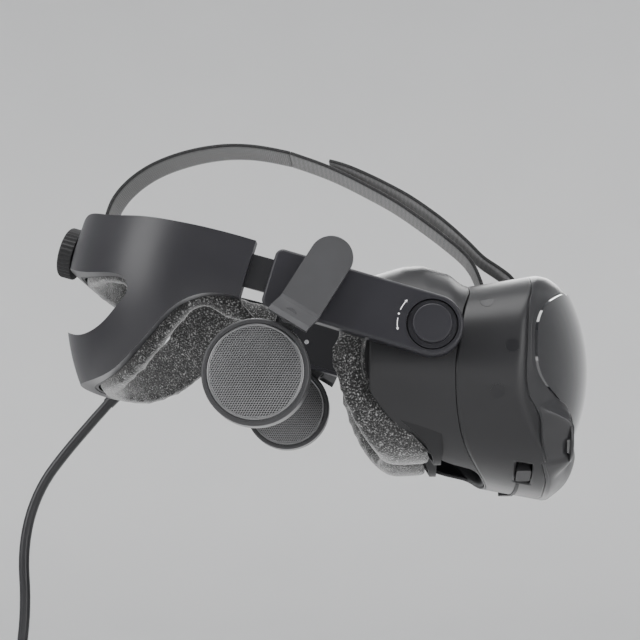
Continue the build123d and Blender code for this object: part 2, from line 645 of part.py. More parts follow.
def front_housing():
    """Front half of the display housing."""
    body = housing_body() - housing_body(SHELL)
    body = body & region(seam_shift(SEAM, 0.4), 215) & region(BEZEL_SEAM, 60)
    body -= block((STRAP_SLOT[0], -STRAP_HALF - 2, 0), (STRAP_SLOT[1], STRAP_HALF + 2, 30))
    body -= block((163.0, IPD_Y - 10, -115), (172.0, IPD_Y + 10, -90))
    body -= rod((BUTTON_X, BUTTON_Y, -120), (BUTTON_X, BUTTON_Y, -100), 4.6)
    for side in (-1, 1):
        for y, z in SCREW_SPOTS:
            body += rod((157.0, side * y, z), (164.4, side * y, z), 5.2)
            body -= rod((158.0, side * y, z), (166.0, side * y, z), 1.45)
    return body - sensor_pockets(3.9)


def sensor_pockets(radius):
    """Round pockets for the position sensors in the housing's sides and top."""
    spots = Part()
    for side in (-1, 1):
        for x, z in ((148.0, -12.0), (152.0, -62.0), (160.0, -38.0)):
            spots += rod((x, side * 60, z), (x, side * 90, z), radius)
    return spots - housing_body(1.1)


def sensor_windows():
    """Flush dark windows of the position sensors."""
    return sensor_pockets(3.8) & housing_body()


def dome(depth):
    """Ball that the housing's front is part of, at a depth below its skin."""
    return Pos(DOME_X, 0, DOME_Z) * Sphere(DOME_R - depth)


def front_limit(depth):
    """Turned solid that the bezel's front is part of, at a depth below its skin."""
    edge = shift_chain(FRONT_PROFILE, depth)
    sides = Polyline(edge[-1], (0, edge[-1][1]), (0, edge[0][1]), edge[0])
    return Pos(DOME_X, 0, 0) * revolve(Plane.XZ * make_face(Curve() + [Spline(*edge), sides]), Axis.Z)


def front_bezel():
    """Rounded frame round the front cover, with bosses for the cameras."""
    outer = housing_body() & front_limit(0)
    inner = housing_body(2.0) & front_limit(4.2)
    body = (outer - inner) & region(seam_shift(BEZEL_SEAM, 0.3), 215)
    body -= along_x(closed_half(COVER_HALF, -0.3), 150, 215) - dome(2.2)
    body -= along_x(closed_half(COVER_HALF, 8.0), 150, 215)
    for side in (-1, 1):
        y = side * CAMERA_Y
        boss = rod((178.0, y, CAMERA_Z), (192.6, y, CAMERA_Z), CAMERA_BOSS_R)
        boss = fillet(boss.faces().sort_by(Axis.X)[-1].edges(), 1.2)
        body += boss
        body -= rod((177.0, y, CAMERA_Z), (194.0, y, CAMERA_Z), CAMERA_R + 0.1)
    return body


def front_cover():
    """Glossy cover over the front bay, held by magnets."""
    body = along_x(closed_half(COVER_HALF), 150, 216) & dome(-0.8)
    return body - dome(2.1)


def camera(side):
    """Camera module with its window."""
    y = side * CAMERA_Y
    barrel = rod((179.0, y, CAMERA_Z), (193.0, y, CAMERA_Z), CAMERA_R)
    window = Pos(CAMERA_FACE - 60.0, y, CAMERA_Z) * Sphere(60.0)
    return (barrel + rod((192.0, y, CAMERA_Z), (195.0, y, CAMERA_Z), CAMERA_R - 0.8)) & window


def midframe():
    """Plate that carries the lens rails and the board."""
    plate = housing_body(3.0) & block((164.5, -90, -120), (166.5, 90, -6.5))
    plate -= block((164, IPD_Y - 12, -115), (167, IPD_Y + 12, -95))
    plate -= block((164, BUTTON_Y - 8, -115), (167, BUTTON_Y + 8, -101))
    for side in (-1, 1):
        for z in (EYE_Z - ROD_RISE, EYE_Z + ROD_RISE):
            low = min(side * 57.5, side * 62.5)
            plate += block((ROD_X - 5, low, z - 4), (165.0, low + 5, z + 4))
            plate -= rod((ROD_X, side * 57, z), (ROD_X, side * 61.2, z), 2.05)
        for y, z in SCREW_SPOTS:
            plate -= rod((164, side * y, z), (167, side * y, z), 1.6)
    return plate


def lens_rails():
    """Two rods that the lens units slide on."""
    rails = Part()
    for z in (EYE_Z - ROD_RISE, EYE_Z + ROD_RISE):
        rails += rod((ROD_X, -61.0, z), (ROD_X, 61.0, z), 2.0)
    return rails


def main_board():
    """Circuit board with a heat spreader and its sockets."""
    board = housing_body(18.0) & block((169.0, -90, -100), (170.6, 90, -8.0))
    board += block((170.4, -22, -60), (173.0, 22, -22))
    board += block((170.4, -48, -75), (172.4, -34, -68))
    return board + block((170.4, 34, -75), (172.4, 48, -68))


def lens_barrel(side):
    """Tube that holds one lens and its display, with blocks for the rails."""
    y = side * EYE_Y
    body = cone((108.0, y, EYE_Z), (148.0, y, EYE_Z), BARREL_R - 1.0, BARREL_R)
    body -= cone((107.0, y, EYE_Z), (149.0, y, EYE_Z), BARREL_R - 3.0, BARREL_R - 2.0)
    flange = block((148.0, y - 27, EYE_Z - 34), (150.0, y + 27, EYE_Z + 34))
    body += flange - rod((147.0, y, EYE_Z), (151.0, y, EYE_Z), BARREL_R - 2.2)
    for z in (EYE_Z - ROD_RISE, EYE_Z + ROD_RISE):
        body += block((149.5, y - 12, z - 4), (162.0, y + 12, z + 4))
        body -= rod((ROD_X, y - 14, z), (ROD_X, y + 14, z), 2.05)
    return body


def lens(side):
    """Plano-convex lens in the barrel's mouth."""
    y = side * EYE_Y
    disc = rod((109.0, y, EYE_Z), (116.0, y, EYE_Z), BARREL_R - 3.1)
    return disc & Pos(109.0 + 62.0, y, EYE_Z) * Sphere(62.0)


def display(side):
    """Display panel behind the lens."""
    y = side * EYE_Y
    return block((150.05, y - 25, EYE_Z - 25), (152.6, y + 25, EYE_Z + 25))


def ipd_slider():
    """Tab under the housing that sets the lens spacing."""
    tab = fillet(Box(7.8, 12.0, 4.6).edges().filter_by(Axis.Z), 1.5)
    tab = Pos(167.5, IPD_Y, IPD_Z + 1.2) * Rot(IPD_SLOPE, 0, 0) * tab
    return tab + block((166.9, IPD_Y - 2, IPD_Z), (168.6, IPD_Y + 2, -90.0))


def system_button():
    """Round push button under the housing."""
    cap = rod((BUTTON_X, BUTTON_Y, BUTTON_LOW), (BUTTON_X, BUTTON_Y, BUTTON_LOW + 6.6), 4.3)
    flange = rod((BUTTON_X, BUTTON_Y, BUTTON_LOW + 6.0), (BUTTON_X, BUTTON_Y, BUTTON_LOW + 7.2), 5.6)
    return cap + flange


# ---------------------------------------------------------------- face gasket

def face_cushion():
    """Soft ring against the face."""
    ring = along_x(closed_half(GASKET_HALF), 40, GASKET_FRONT)
    ring -= along_x(closed_half(GASKET_HALF, CUSHION_WIDTH), 39, 130)
    ring = ring & region_smooth(GASKET_REAR, 215) & region_smooth(CUSHION_FRONT, 20)
    ring = ring & brow_body(2.6)
    return ring - Pos(FACE_X, 0, -40) * Cylinder(FACE_R, 260)


def gasket_frame():
    """Stiff frame that the cushion clips on."""
    ring = along_x(closed_half(GASKET_HALF, 1.0), 60, GASKET_FRAME_FRONT)
    ring -= along_x(closed_half(GASKET_HALF, 3.4), 59, 130)
    ring = ring & region_smooth(seam_shift(CUSHION_FRONT, 0.1), 215) & brow_body(2.6)
    return ring - rod((PIVOT_X, -90, PIVOT_Z), (PIVOT_X, 90, PIVOT_Z), 15.0)


# ---------------------------------------------------------------- cord

def cable_gland():
    """Tapered strain relief where the cord leaves the cradle."""
    return cone(RELIEF_START, CORD_ROUTE[0], 5.1, CORD_D / 2 + 0.5)


def cord_radii(route):
    """Largest tangent arc that each corner of the route allows."""
    radii = []
    for before, corner, after in zip(route, route[1:], route[2:]):
        run_in = Vector(*corner) - Vector(*before)
        run_out = Vector(*after) - Vector(*corner)
        half_turn = math.radians(run_in.get_angle(run_out) / 2)
        radii.append(0.45 * min(run_in.length, run_out.length) / math.tan(half_turn))
    return radii


def cord_tube():
    """The stretch of cord from the strain relief to the coil."""
    radii = cord_radii(CORD_ROUTE)
    path = FilletPolyline(*CORD_ROUTE, radius=radii)
    start = Plane(origin=path @ 0, z_dir=path % 0)
    tube = sweep(start * Circle(CORD_D / 2), path=path)
    section = math.pi * CORD_D ** 2 / 4
    print("cord radii", [round(r) for r in radii], "length", round(path.length),
          "volume ratio", round(tube.volume / (section * path.length), 4))
    return tube


def cord_coil():
    """Outer shape of the tied coil that holds the rest of the cord."""
    half = COIL_SECTION / 2
    ring = rod((COIL_X, CORD_Y - half, COIL_Z), (COIL_X, CORD_Y + half, COIL_Z), COIL_R + half)
    ring = fillet(ring.edges().filter_by(GeomType.CIRCLE), 6.0)
    return ring - rod((COIL_X, CORD_Y - 30, COIL_Z), (COIL_X, CORD_Y + 30, COIL_Z), COIL_R - half)


def cord_plug():
    """Plug of the breakaway lead, held on the coil by the tie."""
    low_y = CORD_Y + COIL_SECTION / 2 + 0.5
    middle_z = COIL_Z + COIL_R
    half_x = PLUG_SIZE[0] / 2
    half_z = PLUG_SIZE[2] / 2
    rear_x = COIL_X - half_x
    front_x = COIL_X + half_x
    body = block((rear_x, low_y, middle_z - half_z), (front_x, low_y + PLUG_SIZE[1], middle_z + half_z))
    body = fillet(body.edges().filter_by(Axis.X), 3.0)
    nose = block((rear_x - 9, low_y + 2.5, middle_z - 5.5), (rear_x + 1, low_y + 9.5, middle_z + 5.5))
    middle_y = low_y + PLUG_SIZE[1] / 2
    tail = cone((front_x - 1, middle_y, middle_z), (front_x + 16, CORD_Y + 10, middle_z - 13), 5, 3.8)
    return body + nose + tail


def cord_tie():
    """Hook-and-loop tie round the coil and the plug."""
    half = COIL_SECTION / 2
    low_z = COIL_Z + COIL_R - half - 1.4
    high_z = COIL_Z + COIL_R + half + 0.5
    low_y = CORD_Y - half - 0.3
    high_y = CORD_Y + half + PLUG_SIZE[1] + 0.8
    outer = block((COIL_X - 8, low_y - 1.4, low_z - 1.4), (COIL_X + 8, high_y + 1.4, high_z + 1.4))
    outer = fillet(outer.edges().filter_by(Axis.X), 3.0)
    return outer - block((COIL_X - 9, low_y, low_z), (COIL_X + 9, high_y, high_z))


def housing_screws():
    """Screws that hold the midframe to the front housing."""
    screws = Part()
    for side in (-1, 1):
        for y, z in SCREW_SPOTS:
            screws += rod((159.0, side * y, z), (168.4, side * y, z), 1.4)
            screws += rod((166.6, side * y, z), (168.4, side * y, z), 2.8)
    return screws


def pair(name, shape):
    """Right and left copies of one piece."""
    return {name + "_right": shape, name + "_left": mirror(shape, Plane.XZ)}


def build():
    """All nodes of the headset."""
    nodes = {}
    nodes.update(pair("side_arm", side_arm()))
    nodes.update(pair("arm_liner", arm_liner()))
    nodes.update(pair("rack_strip", rack_strip()))
    nodes["arm_screws"] = arm_screws()
    nodes["hinge_cap_left"] = mirror(hinge_cap(), Plane.XZ)
    nodes["top_strap"] = top_strap()
    nodes["rear_casing"] = rear_casing()
    nodes["rear_frame"] = rear_frame()
    nodes["rear_pad"] = rear_pad()
    nodes["strap_anchor"] = strap_anchor()
    nodes["crown_bearing"] = crown_bearing()
    nodes["crown_pinion"] = crown_pinion()
    nodes["crown_knob"] = crown_knob()
    nodes["cable_gland"] = cable_gland()
    nodes["cord_tube"] = cord_tube()
    nodes["cord_coil"] = cord_coil()
    nodes["cord_plug"] = cord_plug()
    nodes["cord_tie"] = cord_tie()
    nodes["inner_housing"] = inner_housing()
    nodes.update(pair("hinge_hub", hinge_hub()))
    nodes["gasket_frame"] = gasket_frame()
    nodes["face_cushion"] = face_cushion()
    nodes["strap_bar"] = strap_bar()
    nodes["eye_relief_dial"] = eye_relief_dial()
    nodes["front_housing"] = front_housing()
    nodes["front_bezel"] = front_bezel()
    nodes["front_cover"] = front_cover()
    nodes["sensor_windows"] = sensor_windows()
    nodes["midframe"] = midframe()
    nodes["main_board"] = main_board()
    nodes["lens_rails"] = lens_rails()
    nodes["housing_screws"] = housing_screws()
    for name, side in (("right", -1), ("left", 1)):
        nodes["camera_" + name] = camera(side)
        nodes["lens_barrel_" + name] = lens_barrel(side)
        nodes["lens_" + name] = lens(side)
        nodes["display_" + name] = display(side)
    nodes["ipd_slider"] = ipd_slider()
    nodes["system_button"] = system_button()
    nodes.update(speaker_set("right", -1, EAR_RIGHT, 0.0))
    nodes.update(speaker_set("left", 1, EAR_LEFT, LEFT_SLIDE))
    return nodes


for node, shape in build().items():
    export_step(shape, "parts/" + node + ".step")
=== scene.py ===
import json
import logging
import math
from dataclasses import dataclass
from enum import Enum

import bmesh
import bpy
from mathutils import Matrix, Vector


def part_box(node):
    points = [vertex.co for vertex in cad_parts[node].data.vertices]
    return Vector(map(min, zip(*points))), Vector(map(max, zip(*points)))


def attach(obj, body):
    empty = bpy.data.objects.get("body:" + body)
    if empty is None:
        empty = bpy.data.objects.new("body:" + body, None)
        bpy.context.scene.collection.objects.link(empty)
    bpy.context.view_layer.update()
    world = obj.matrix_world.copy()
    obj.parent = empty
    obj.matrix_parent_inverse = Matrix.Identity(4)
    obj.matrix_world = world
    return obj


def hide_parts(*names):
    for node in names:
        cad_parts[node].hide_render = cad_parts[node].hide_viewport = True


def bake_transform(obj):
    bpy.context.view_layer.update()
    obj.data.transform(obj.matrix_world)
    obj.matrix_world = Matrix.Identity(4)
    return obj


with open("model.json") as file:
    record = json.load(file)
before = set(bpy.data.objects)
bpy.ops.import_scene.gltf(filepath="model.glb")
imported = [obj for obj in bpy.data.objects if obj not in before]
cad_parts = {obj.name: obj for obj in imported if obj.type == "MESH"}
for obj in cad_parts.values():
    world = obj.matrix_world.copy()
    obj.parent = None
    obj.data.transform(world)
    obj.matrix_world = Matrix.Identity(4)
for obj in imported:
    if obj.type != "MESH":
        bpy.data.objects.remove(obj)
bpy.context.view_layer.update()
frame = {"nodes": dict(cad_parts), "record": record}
LOG = logging.getLogger("headset")
MM = 0.001


class Grain(Enum):
    """Kinds of surface that a finish can have."""

    MOULDED = "fine moulded grain"
    HEATHER = "flecked knitted cloth"
    WEBBING = "woven strap"
    RUBBER = "soft rubber"
    BRUSHED = "drawn metal"
    CIRCUIT = "printed circuit"
    CLEAR = "clear glass"


class NodeSheet:
    """Short way to fill a material's node tree."""

    def __init__(self, material: bpy.types.Material) -> None:
        """Start from the material's own shader node.

        Args:
            material: The material whose nodes are filled in.
        """
        material.use_nodes = True
        self.tree = material.node_tree
        self.shader = self.tree.nodes["Principled BSDF"]

    def add(self, kind: str, values: dict | None = None, **settings: object) -> bpy.types.Node:
        """Add one node.

        Args:
            kind: Blender's name of the node type.
            values: Input socket values by socket name.
            settings: Node properties by name.

        Returns:
            The new node.
        """
        node = self.tree.nodes.new(kind)
        for name, value in settings.items():
            setattr(node, name, value)
        for name, value in (values or {}).items():
            node.inputs[name].default_value = value
        return node

    def join(self, start: bpy.types.NodeSocket, end: bpy.types.NodeSocket) -> None:
        """Link two sockets."""
        self.tree.links.new(start, end)

    def coordinates(self, source: str = "Object") -> bpy.types.NodeSocket:
        """Coordinates of one kind, as a socket."""
        return self.add("ShaderNodeTexCoord").outputs[source]

    def noise(self, place: bpy.types.NodeSocket, scale: float, detail: float = 2.0) -> bpy.types.NodeSocket:
        """Noise at a scale, as a value socket.

        Args:
            place: Coordinates that the noise reads.
            scale: Cells per metre.
            detail: Octaves of noise.

        Returns:
            The noise's value socket.
        """
        texture = self.add("ShaderNodeTexNoise", {"Scale": scale, "Detail": detail})
        self.join(place, texture.inputs["Vector"])
        return texture.outputs["Fac"]

    def ramp(self, value: bpy.types.NodeSocket, stops: list[tuple[float, float]]) -> bpy.types.NodeSocket:
        """Grey ramp through stops.

        Args:
            value: Socket that the ramp reads.
            stops: Position and grey level of each stop.

        Returns:
            The ramp's colour socket.
        """
        node = self.add("ShaderNodeValToRGB")
        elements = node.color_ramp.elements
        while len(elements) < len(stops):
            elements.new(0.5)
        for element, (position, grey) in zip(elements, stops):
            element.position = position
            element.color = (grey, grey, grey, 1.0)
        self.join(value, node.inputs["Fac"])
        return node.outputs["Color"]

    def spread(self, value: bpy.types.NodeSocket, low: float, high: float) -> bpy.types.NodeSocket:
        """Map a noise value to a range."""
        limits = {"From Min": 0.3, "From Max": 0.7, "To Min": low, "To Max": high}
        node = self.add("ShaderNodeMapRange", limits)
        self.join(value, node.inputs["Value"])
        return node.outputs["Result"]

    def blend(self, amount: bpy.types.NodeSocket, first: object, second: object) -> bpy.types.NodeSocket:
        """Mix two colours, each a socket or a colour.

        Args:
            amount: Share of the second colour.
            first: Colour or socket at 0.
            second: Colour or socket at 1.

        Returns:
            The mixed colour's socket.
        """
        node = self.add("ShaderNodeMix", data_type="RGBA")
        self.join(amount, node.inputs["Factor"])
        for socket, source in ((node.inputs[6], first), (node.inputs[7], second)):
            if isinstance(source, bpy.types.NodeSocket):
                self.join(source, socket)
            else:
                socket.default_value = (*source, 1.0)
        return node.outputs[2]

    def bump(self, height: bpy.types.NodeSocket, strength: float, depth: float) -> None:
        """Bump the shader's normal.

        Args:
            height: Height socket.
            strength: Strength of the bump.
            depth: Depth in metres.
        """
        node = self.add("ShaderNodeBump", {"Strength": strength, "Distance": depth})
        self.join(height, node.inputs["Height"])
        self.join(node.outputs["Normal"], self.shader.inputs["Normal"])


@dataclass(frozen=True)
class Finish:
    """One finish: its colour, its gloss and the grain of its surface."""

    name: str
    color: tuple[float, float, float]
    roughness: float
    metallic: float = 0.0
    grain: Grain = Grain.MOULDED
    coat: float = 0.0
    variation: float = 0.14
    specular: float = 0.15
    depth: float = 0.00006

    def material(self) -> bpy.types.Material:
        """Build the procedural material.

        Returns:
            The new material.
        """
        material = bpy.data.materials.new(self.name)
        sheet = NodeSheet(material)
        inputs = sheet.shader.inputs
        inputs["Roughness"].default_value = self.roughness
        inputs["Metallic"].default_value = self.metallic
        inputs["Coat Weight"].default_value = self.coat
        inputs["Coat Roughness"].default_value = 0.04
        inputs["Specular IOR Level"].default_value = self.specular
        painter = {
            Grain.HEATHER: self._heather,
            Grain.WEBBING: self._webbing,
            Grain.RUBBER: self._rubber,
            Grain.BRUSHED: self._brushed,
            Grain.CIRCUIT: self._circuit,
            Grain.CLEAR: self._clear,
        }.get(self.grain, self._moulded)
        painter(sheet)
        return material

    def _shades(self, low: float, high: float) -> tuple[tuple[float, ...], tuple[float, ...]]:
        """Two shades of the finish's colour, darker and lighter."""
        return tuple(c * low for c in self.color), tuple(c * high for c in self.color)

    def _tone(self, sheet: NodeSheet, scale: float) -> None:
        """Vary colour and roughness softly over the surface."""
        place = sheet.coordinates()
        soft = sheet.noise(place, scale, 4.0)
        dark, light = self._shades(1.0 - self.variation, 1.0 + self.variation)
        sheet.join(sheet.blend(soft, dark, light), sheet.shader.inputs["Base Color"])
        rough = sheet.spread(soft, self.roughness - 0.03, self.roughness + 0.04)
        sheet.join(rough, sheet.shader.inputs["Roughness"])

    def _moulded(self, sheet: NodeSheet) -> None:
        """Spark-eroded moulding: soft tone and a very fine grain."""
        self._tone(sheet, 26.0)
        sheet.bump(sheet.noise(sheet.coordinates(), 2600.0, 2.0), 0.22, self.depth)

    def _rubber(self, sheet: NodeSheet) -> None:
        """Rubber: a little dust and a coarser grain."""
        self._tone(sheet, 60.0)
        sheet.bump(sheet.noise(sheet.coordinates(), 1500.0, 3.0), 0.3, self.depth * 1.5)

    def _brushed(self, sheet: NodeSheet) -> None:
        """Blasted metal with fine drawn lines."""
        self._tone(sheet, 40.0)
        stretch = sheet.add("ShaderNodeMapping", {"Scale": (250.0, 2400.0, 2400.0)})
        sheet.join(sheet.coordinates(), stretch.inputs["Vector"])
        sheet.bump(sheet.noise(stretch.outputs["Vector"], 1.0, 2.0), 0.18, self.depth)

    def _heather(self, sheet: NodeSheet) -> None:
        """Knitted cloth of black, grey and pale yarns."""
        place = sheet.coordinates()
        fleck = sheet.noise(place, 1050.0, 3.0)
        patch = sheet.noise(place, 160.0, 2.0)
        flecks = sheet.ramp(fleck, [(0.36, 0.003), (0.47, 0.010), (0.56, 0.036), (0.68, 0.20)])
        dimmer = sheet.ramp(patch, [(0.3, 0.45), (0.7, 1.0)])
        shade = sheet.add("ShaderNodeMix", {"Factor": 1.0}, data_type="RGBA", blend_type="MULTIPLY")
        sheet.join(flecks, shade.inputs[6])
        sheet.join(dimmer, shade.inputs[7])
        sheet.join(shade.outputs[2], sheet.shader.inputs["Base Color"])
        sheet.shader.inputs["Sheen Weight"].default_value = 0.35
        sheet.shader.inputs["Sheen Roughness"].default_value = 0.5
        loops = sheet.add("ShaderNodeTexVoronoi", {"Scale": 1250.0})
        sheet.join(place, loops.inputs["Vector"])
        sheet.bump(loops.outputs["Distance"], 0.75, 0.0004)

    def _webbing(self, sheet: NodeSheet) -> None:
        """Woven strap: ribs along it, threads across it, and pale lint flecks."""
        place = sheet.coordinates("UV")
        ribs = sheet.add("ShaderNodeTexWave", {"Scale": 3.3, "Distortion": 0.6}, bands_direction="Y")
        across = sheet.add("ShaderNodeTexWave", {"Scale": 34.0, "Distortion": 1.2}, bands_direction="X")
        sheet.join(place, ribs.inputs["Vector"])
        sheet.join(place, across.inputs["Vector"])
        weave = sheet.add("ShaderNodeMath", operation="MULTIPLY")
        sheet.join(ribs.outputs["Fac"], weave.inputs[0])
        sheet.join(across.outputs["Fac"], weave.inputs[1])
        dark, light = self._shades(0.45, 2.4)
        fuzz = sheet.noise(sheet.coordinates(), 1300.0, 3.0)
        threads = sheet.blend(weave.outputs[0], dark, light)
        pale = tuple(c * 6.0 + 0.03 for c in self.color)
        lint = sheet.ramp(fuzz, [(0.56, 0.0), (0.74, 0.6)])
        sheet.join(sheet.blend(lint, threads, pale), sheet.shader.inputs["Base Color"])
        sheet.shader.inputs["Sheen Weight"].default_value = 0.3
        sheet.bump(weave.outputs[0], 0.7, 0.0003)

    def _circuit(self, sheet: NodeSheet) -> None:
        """Green board with copper lines under the lacquer."""
        bricks = sheet.add("ShaderNodeTexBrick", {"Scale": 160.0, "Mortar Size": 0.06})
        sheet.join(sheet.coordinates(), bricks.inputs["Vector"])
        dark, light = self._shades(0.7, 1.8)
        sheet.join(sheet.blend(bricks.outputs["Fac"], dark, light), sheet.shader.inputs["Base Color"])
        sheet.bump(bricks.outputs["Fac"], 0.3, 0.0001)

    def _clear(self, sheet: NodeSheet) -> None:
        """Coated glass with a faint film."""
        sheet.shader.inputs["Base Color"].default_value = (*self.color, 1.0)
        sheet.shader.inputs["Transmission Weight"].default_value = 0.9
        sheet.shader.inputs["IOR"].default_value = 1.49
        sheet.bump(sheet.noise(sheet.coordinates(), 40.0, 1.0), 0.02, 0.0001)


FINISHES = {
    "arm_satin": Finish("arm_satin", (0.0100, 0.0098, 0.0118), 0.40),
    "liner_satin": Finish("liner_satin", (0.007, 0.007, 0.008), 0.50),
    "casing_satin": Finish("casing_satin", (0.0110, 0.0108, 0.0125), 0.35),
    "housing_satin": Finish("housing_satin", (0.0085, 0.0085, 0.0092), 0.40),
    "bezel_satin": Finish("bezel_satin", (0.016, 0.016, 0.017), 0.34),
    "cover_gloss": Finish("cover_gloss", (0.004, 0.004, 0.005), 0.06, coat=1.0, depth=0.000004),
    "window_gloss": Finish("window_gloss", (0.003, 0.003, 0.004), 0.08, coat=1.0, depth=0.000004),
    "heather_cloth": Finish("heather_cloth", (0.06, 0.06, 0.065), 0.92, grain=Grain.HEATHER),
    "webbing": Finish("webbing", (0.007, 0.007, 0.0075), 0.85, grain=Grain.WEBBING),
    "knob_rubber": Finish("knob_rubber", (0.009, 0.009, 0.0095), 0.62, grain=Grain.RUBBER),
    "cord_jacket": Finish("cord_jacket", (0.010, 0.010, 0.011), 0.30, grain=Grain.RUBBER, depth=0.00002),
    "hanger_metal": Finish("hanger_metal", (0.045, 0.045, 0.047), 0.38, 0.5, Grain.BRUSHED),
    "speaker_satin": Finish("speaker_satin", (0.022, 0.022, 0.023), 0.36, 0.2),
    "grille_metal": Finish("grille_metal", (0.10, 0.10, 0.102), 0.36, 0.85, Grain.BRUSHED),
    "bright_steel": Finish("bright_steel", (0.55, 0.55, 0.56), 0.22, 1.0, Grain.BRUSHED),
    "strip_satin": Finish("strip_satin", (0.010, 0.010, 0.011), 0.45),
    "lens_glass": Finish("lens_glass", (0.75, 0.8, 0.85), 0.03, grain=Grain.CLEAR),
    "board_green": Finish("board_green", (0.01, 0.07, 0.03), 0.45, grain=Grain.CIRCUIT),
    "inner_black": Finish("inner_black", (0.006, 0.006, 0.0065), 0.60),
}
PRINT = Finish("print_white", (0.62, 0.62, 0.62), 0.6)
SENSOR = Finish("sensor_satin", (0.0070, 0.0070, 0.0078), 0.34)


class Workshop:
    """Shared steps of making pieces: materials, mesh objects and splines."""

    def __init__(self) -> None:
        """Build every finish's material once."""
        self.materials = {slot: finish.material() for slot, finish in FINISHES.items()}
        self.print = PRINT.material()
        self.sensor = SENSOR.material()

    def piece(self, name: str, bm: bmesh.types.BMesh, slot: str) -> bpy.types.Object:
        """Turn a bmesh into a finished object.

        Args:
            name: Name of the piece.
            bm: Its mesh, which is freed.
            slot: Material slot that it takes its finish from.

        Returns:
            The new object.
        """
        mesh = bpy.data.meshes.new(name)
        bm.to_mesh(mesh)
        bm.free()
        mesh.shade_smooth()
        mesh.materials.append(self.materials[slot])
        obj = bpy.data.objects.new(name, mesh)
        bpy.context.scene.collection.objects.link(obj)
        return obj

    def mount(self, obj: bpy.types.Object, body: str, *nodes: str) -> bpy.types.Object:
        """Ride a piece on a body in place of CAD nodes, and log it."""
        if body:
            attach(obj, body)
        if nodes:
            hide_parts(*nodes)
        LOG.info("%s on %s for %s", obj.name, body or "two bodies", ", ".join(nodes) or "itself")
        return obj

    @staticmethod
    def spline(points: list[tuple[float, float, float]], resolution: int = 10) -> bpy.types.Curve:
        """Smooth open curve with the points as its controls.

        Args:
            points: Control points in metres.
            resolution: Steps between controls.

        Returns:
            The curve.
        """
        curve = bpy.data.curves.new("route", "CURVE")
        curve.dimensions = "3D"
        line = curve.splines.new("NURBS")
        line.points.add(len(points) - 1)
        for control, point in zip(line.points, points):
            control.co = (*point, 1.0)
        line.order_u = 3
        line.use_endpoint_u = True
        line.resolution_u = resolution
        return curve

    def trace(self, points: list[tuple[float, float, float]]) -> list[Vector]:
        """Points read along the smooth curve through controls."""
        holder = bpy.data.objects.new("trace", self.spline(points))
        mesh = bpy.data.meshes.new_from_object(holder)
        found = [vertex.co.copy() for vertex in mesh.vertices]
        bpy.data.objects.remove(holder)
        bpy.data.meshes.remove(mesh)
        return found

    @staticmethod
    def modifier(obj: bpy.types.Object, kind: str, **settings: object) -> None:
        """Add one finishing modifier with its settings."""
        step = obj.modifiers.new(kind.title(), kind)
        for name, value in settings.items():
            setattr(step, name, value)

    def smooth(self, obj: bpy.types.Object, levels: int = 1) -> None:
        """Subdivide a piece's surface."""
        self.modifier(obj, "SUBSURF", levels=levels, render_levels=levels)


def at(points: list[Vector], share: float) -> Vector:
    """Point at a share of a traced line's length, evenly by its own steps."""
    lengths = [0.0]
    for first, second in zip(points, points[1:]):
        lengths.append(lengths[-1] + (second - first).length)
    goal = share * lengths[-1]
    for index in range(1, len(points)):
        if lengths[index] >= goal or index == len(points) - 1:
            step = lengths[index] - lengths[index - 1]
            local = (goal - lengths[index - 1]) / step if step else 0.0
            return points[index - 1].lerp(points[index], local)
    return points[-1]


@dataclass
class Lead:
    """The cord: a hanging stretch from the cradle, then a tied coil."""

    diameter: float = 6.6 * MM
    length: float = 4.9
    route: tuple = ((-85.6, 60, -48.2), (-113.0, 60, -79.5), (-130.5, 61, -106.0), (-137.5, 61, -139.0),
                    (-133.0, 60, -176.0), (-135.8, 60, -214.0), (-135.8, 60, -246.0))
    coil_centre: tuple = (-77.6, -275.0)
    middle_y: float = 60.0
    pitch: float = 6.75
    rings: tuple = (58.1, 51.35, 44.6, 37.85)
    order: tuple = ((0, 2), (0, 1), (0, 0), (1, 0), (2, 0), (3, 0), (3, 1), (2, 1), (1, 1), (1, 2), (2, 2),
                    (3, 2), (3, 3), (2, 3), (1, 3), (0, 3))
    steps: int = 16
    last_turn: float = 0.62
    cross_from: float = 0.75
    tail_end: tuple = (-39.6, 70.0, -240.0)

    def coil(self) -> list[tuple[float, float, float]]:
        """Points of the coil's turns, ring by ring.

        Returns:
            Points in millimetres, from the coil's left side on.
        """
        points = []
        centre_x, centre_z = self.coil_centre
        for turn, (ring, column) in enumerate(self.order):
            following = self.order[min(turn + 1, len(self.order) - 1)]
            share = self.last_turn if turn == len(self.order) - 1 else 1.0
            for step in range(int(self.steps * share)):
                done = step / self.steps
                shift = max(0.0, (done - self.cross_from) / (1 - self.cross_from))
                radius = self.rings[ring] + (self.rings[following[0]] - self.rings[ring]) * shift
                place = column + (following[1] - column) * shift
                angle = math.pi + 2 * math.pi * done
                side = self.middle_y + (place - 1.5) * self.pitch
                x = centre_x + radius * math.cos(angle)
                points.append((x, side, centre_z + radius * math.sin(angle)))
        return points

    def build(self, shop: Workshop) -> None:
        """Args:
            shop: Materials and shared steps.
        """
        points = [tuple(c * MM for c in p) for p in (*self.route, *self.coil(), self.tail_end)]
        curve = shop.spline(points, 6)
        curve.bevel_depth = self.diameter / 2
        curve.bevel_resolution = 5
        curve.use_fill_caps = True
        curve.materials.append(shop.materials["cord_jacket"])
        cord = bpy.data.objects.new("lead", curve)
        bpy.context.scene.collection.objects.link(cord)
        shop.mount(cord, "cradle", "cord_tube", "cord_coil")


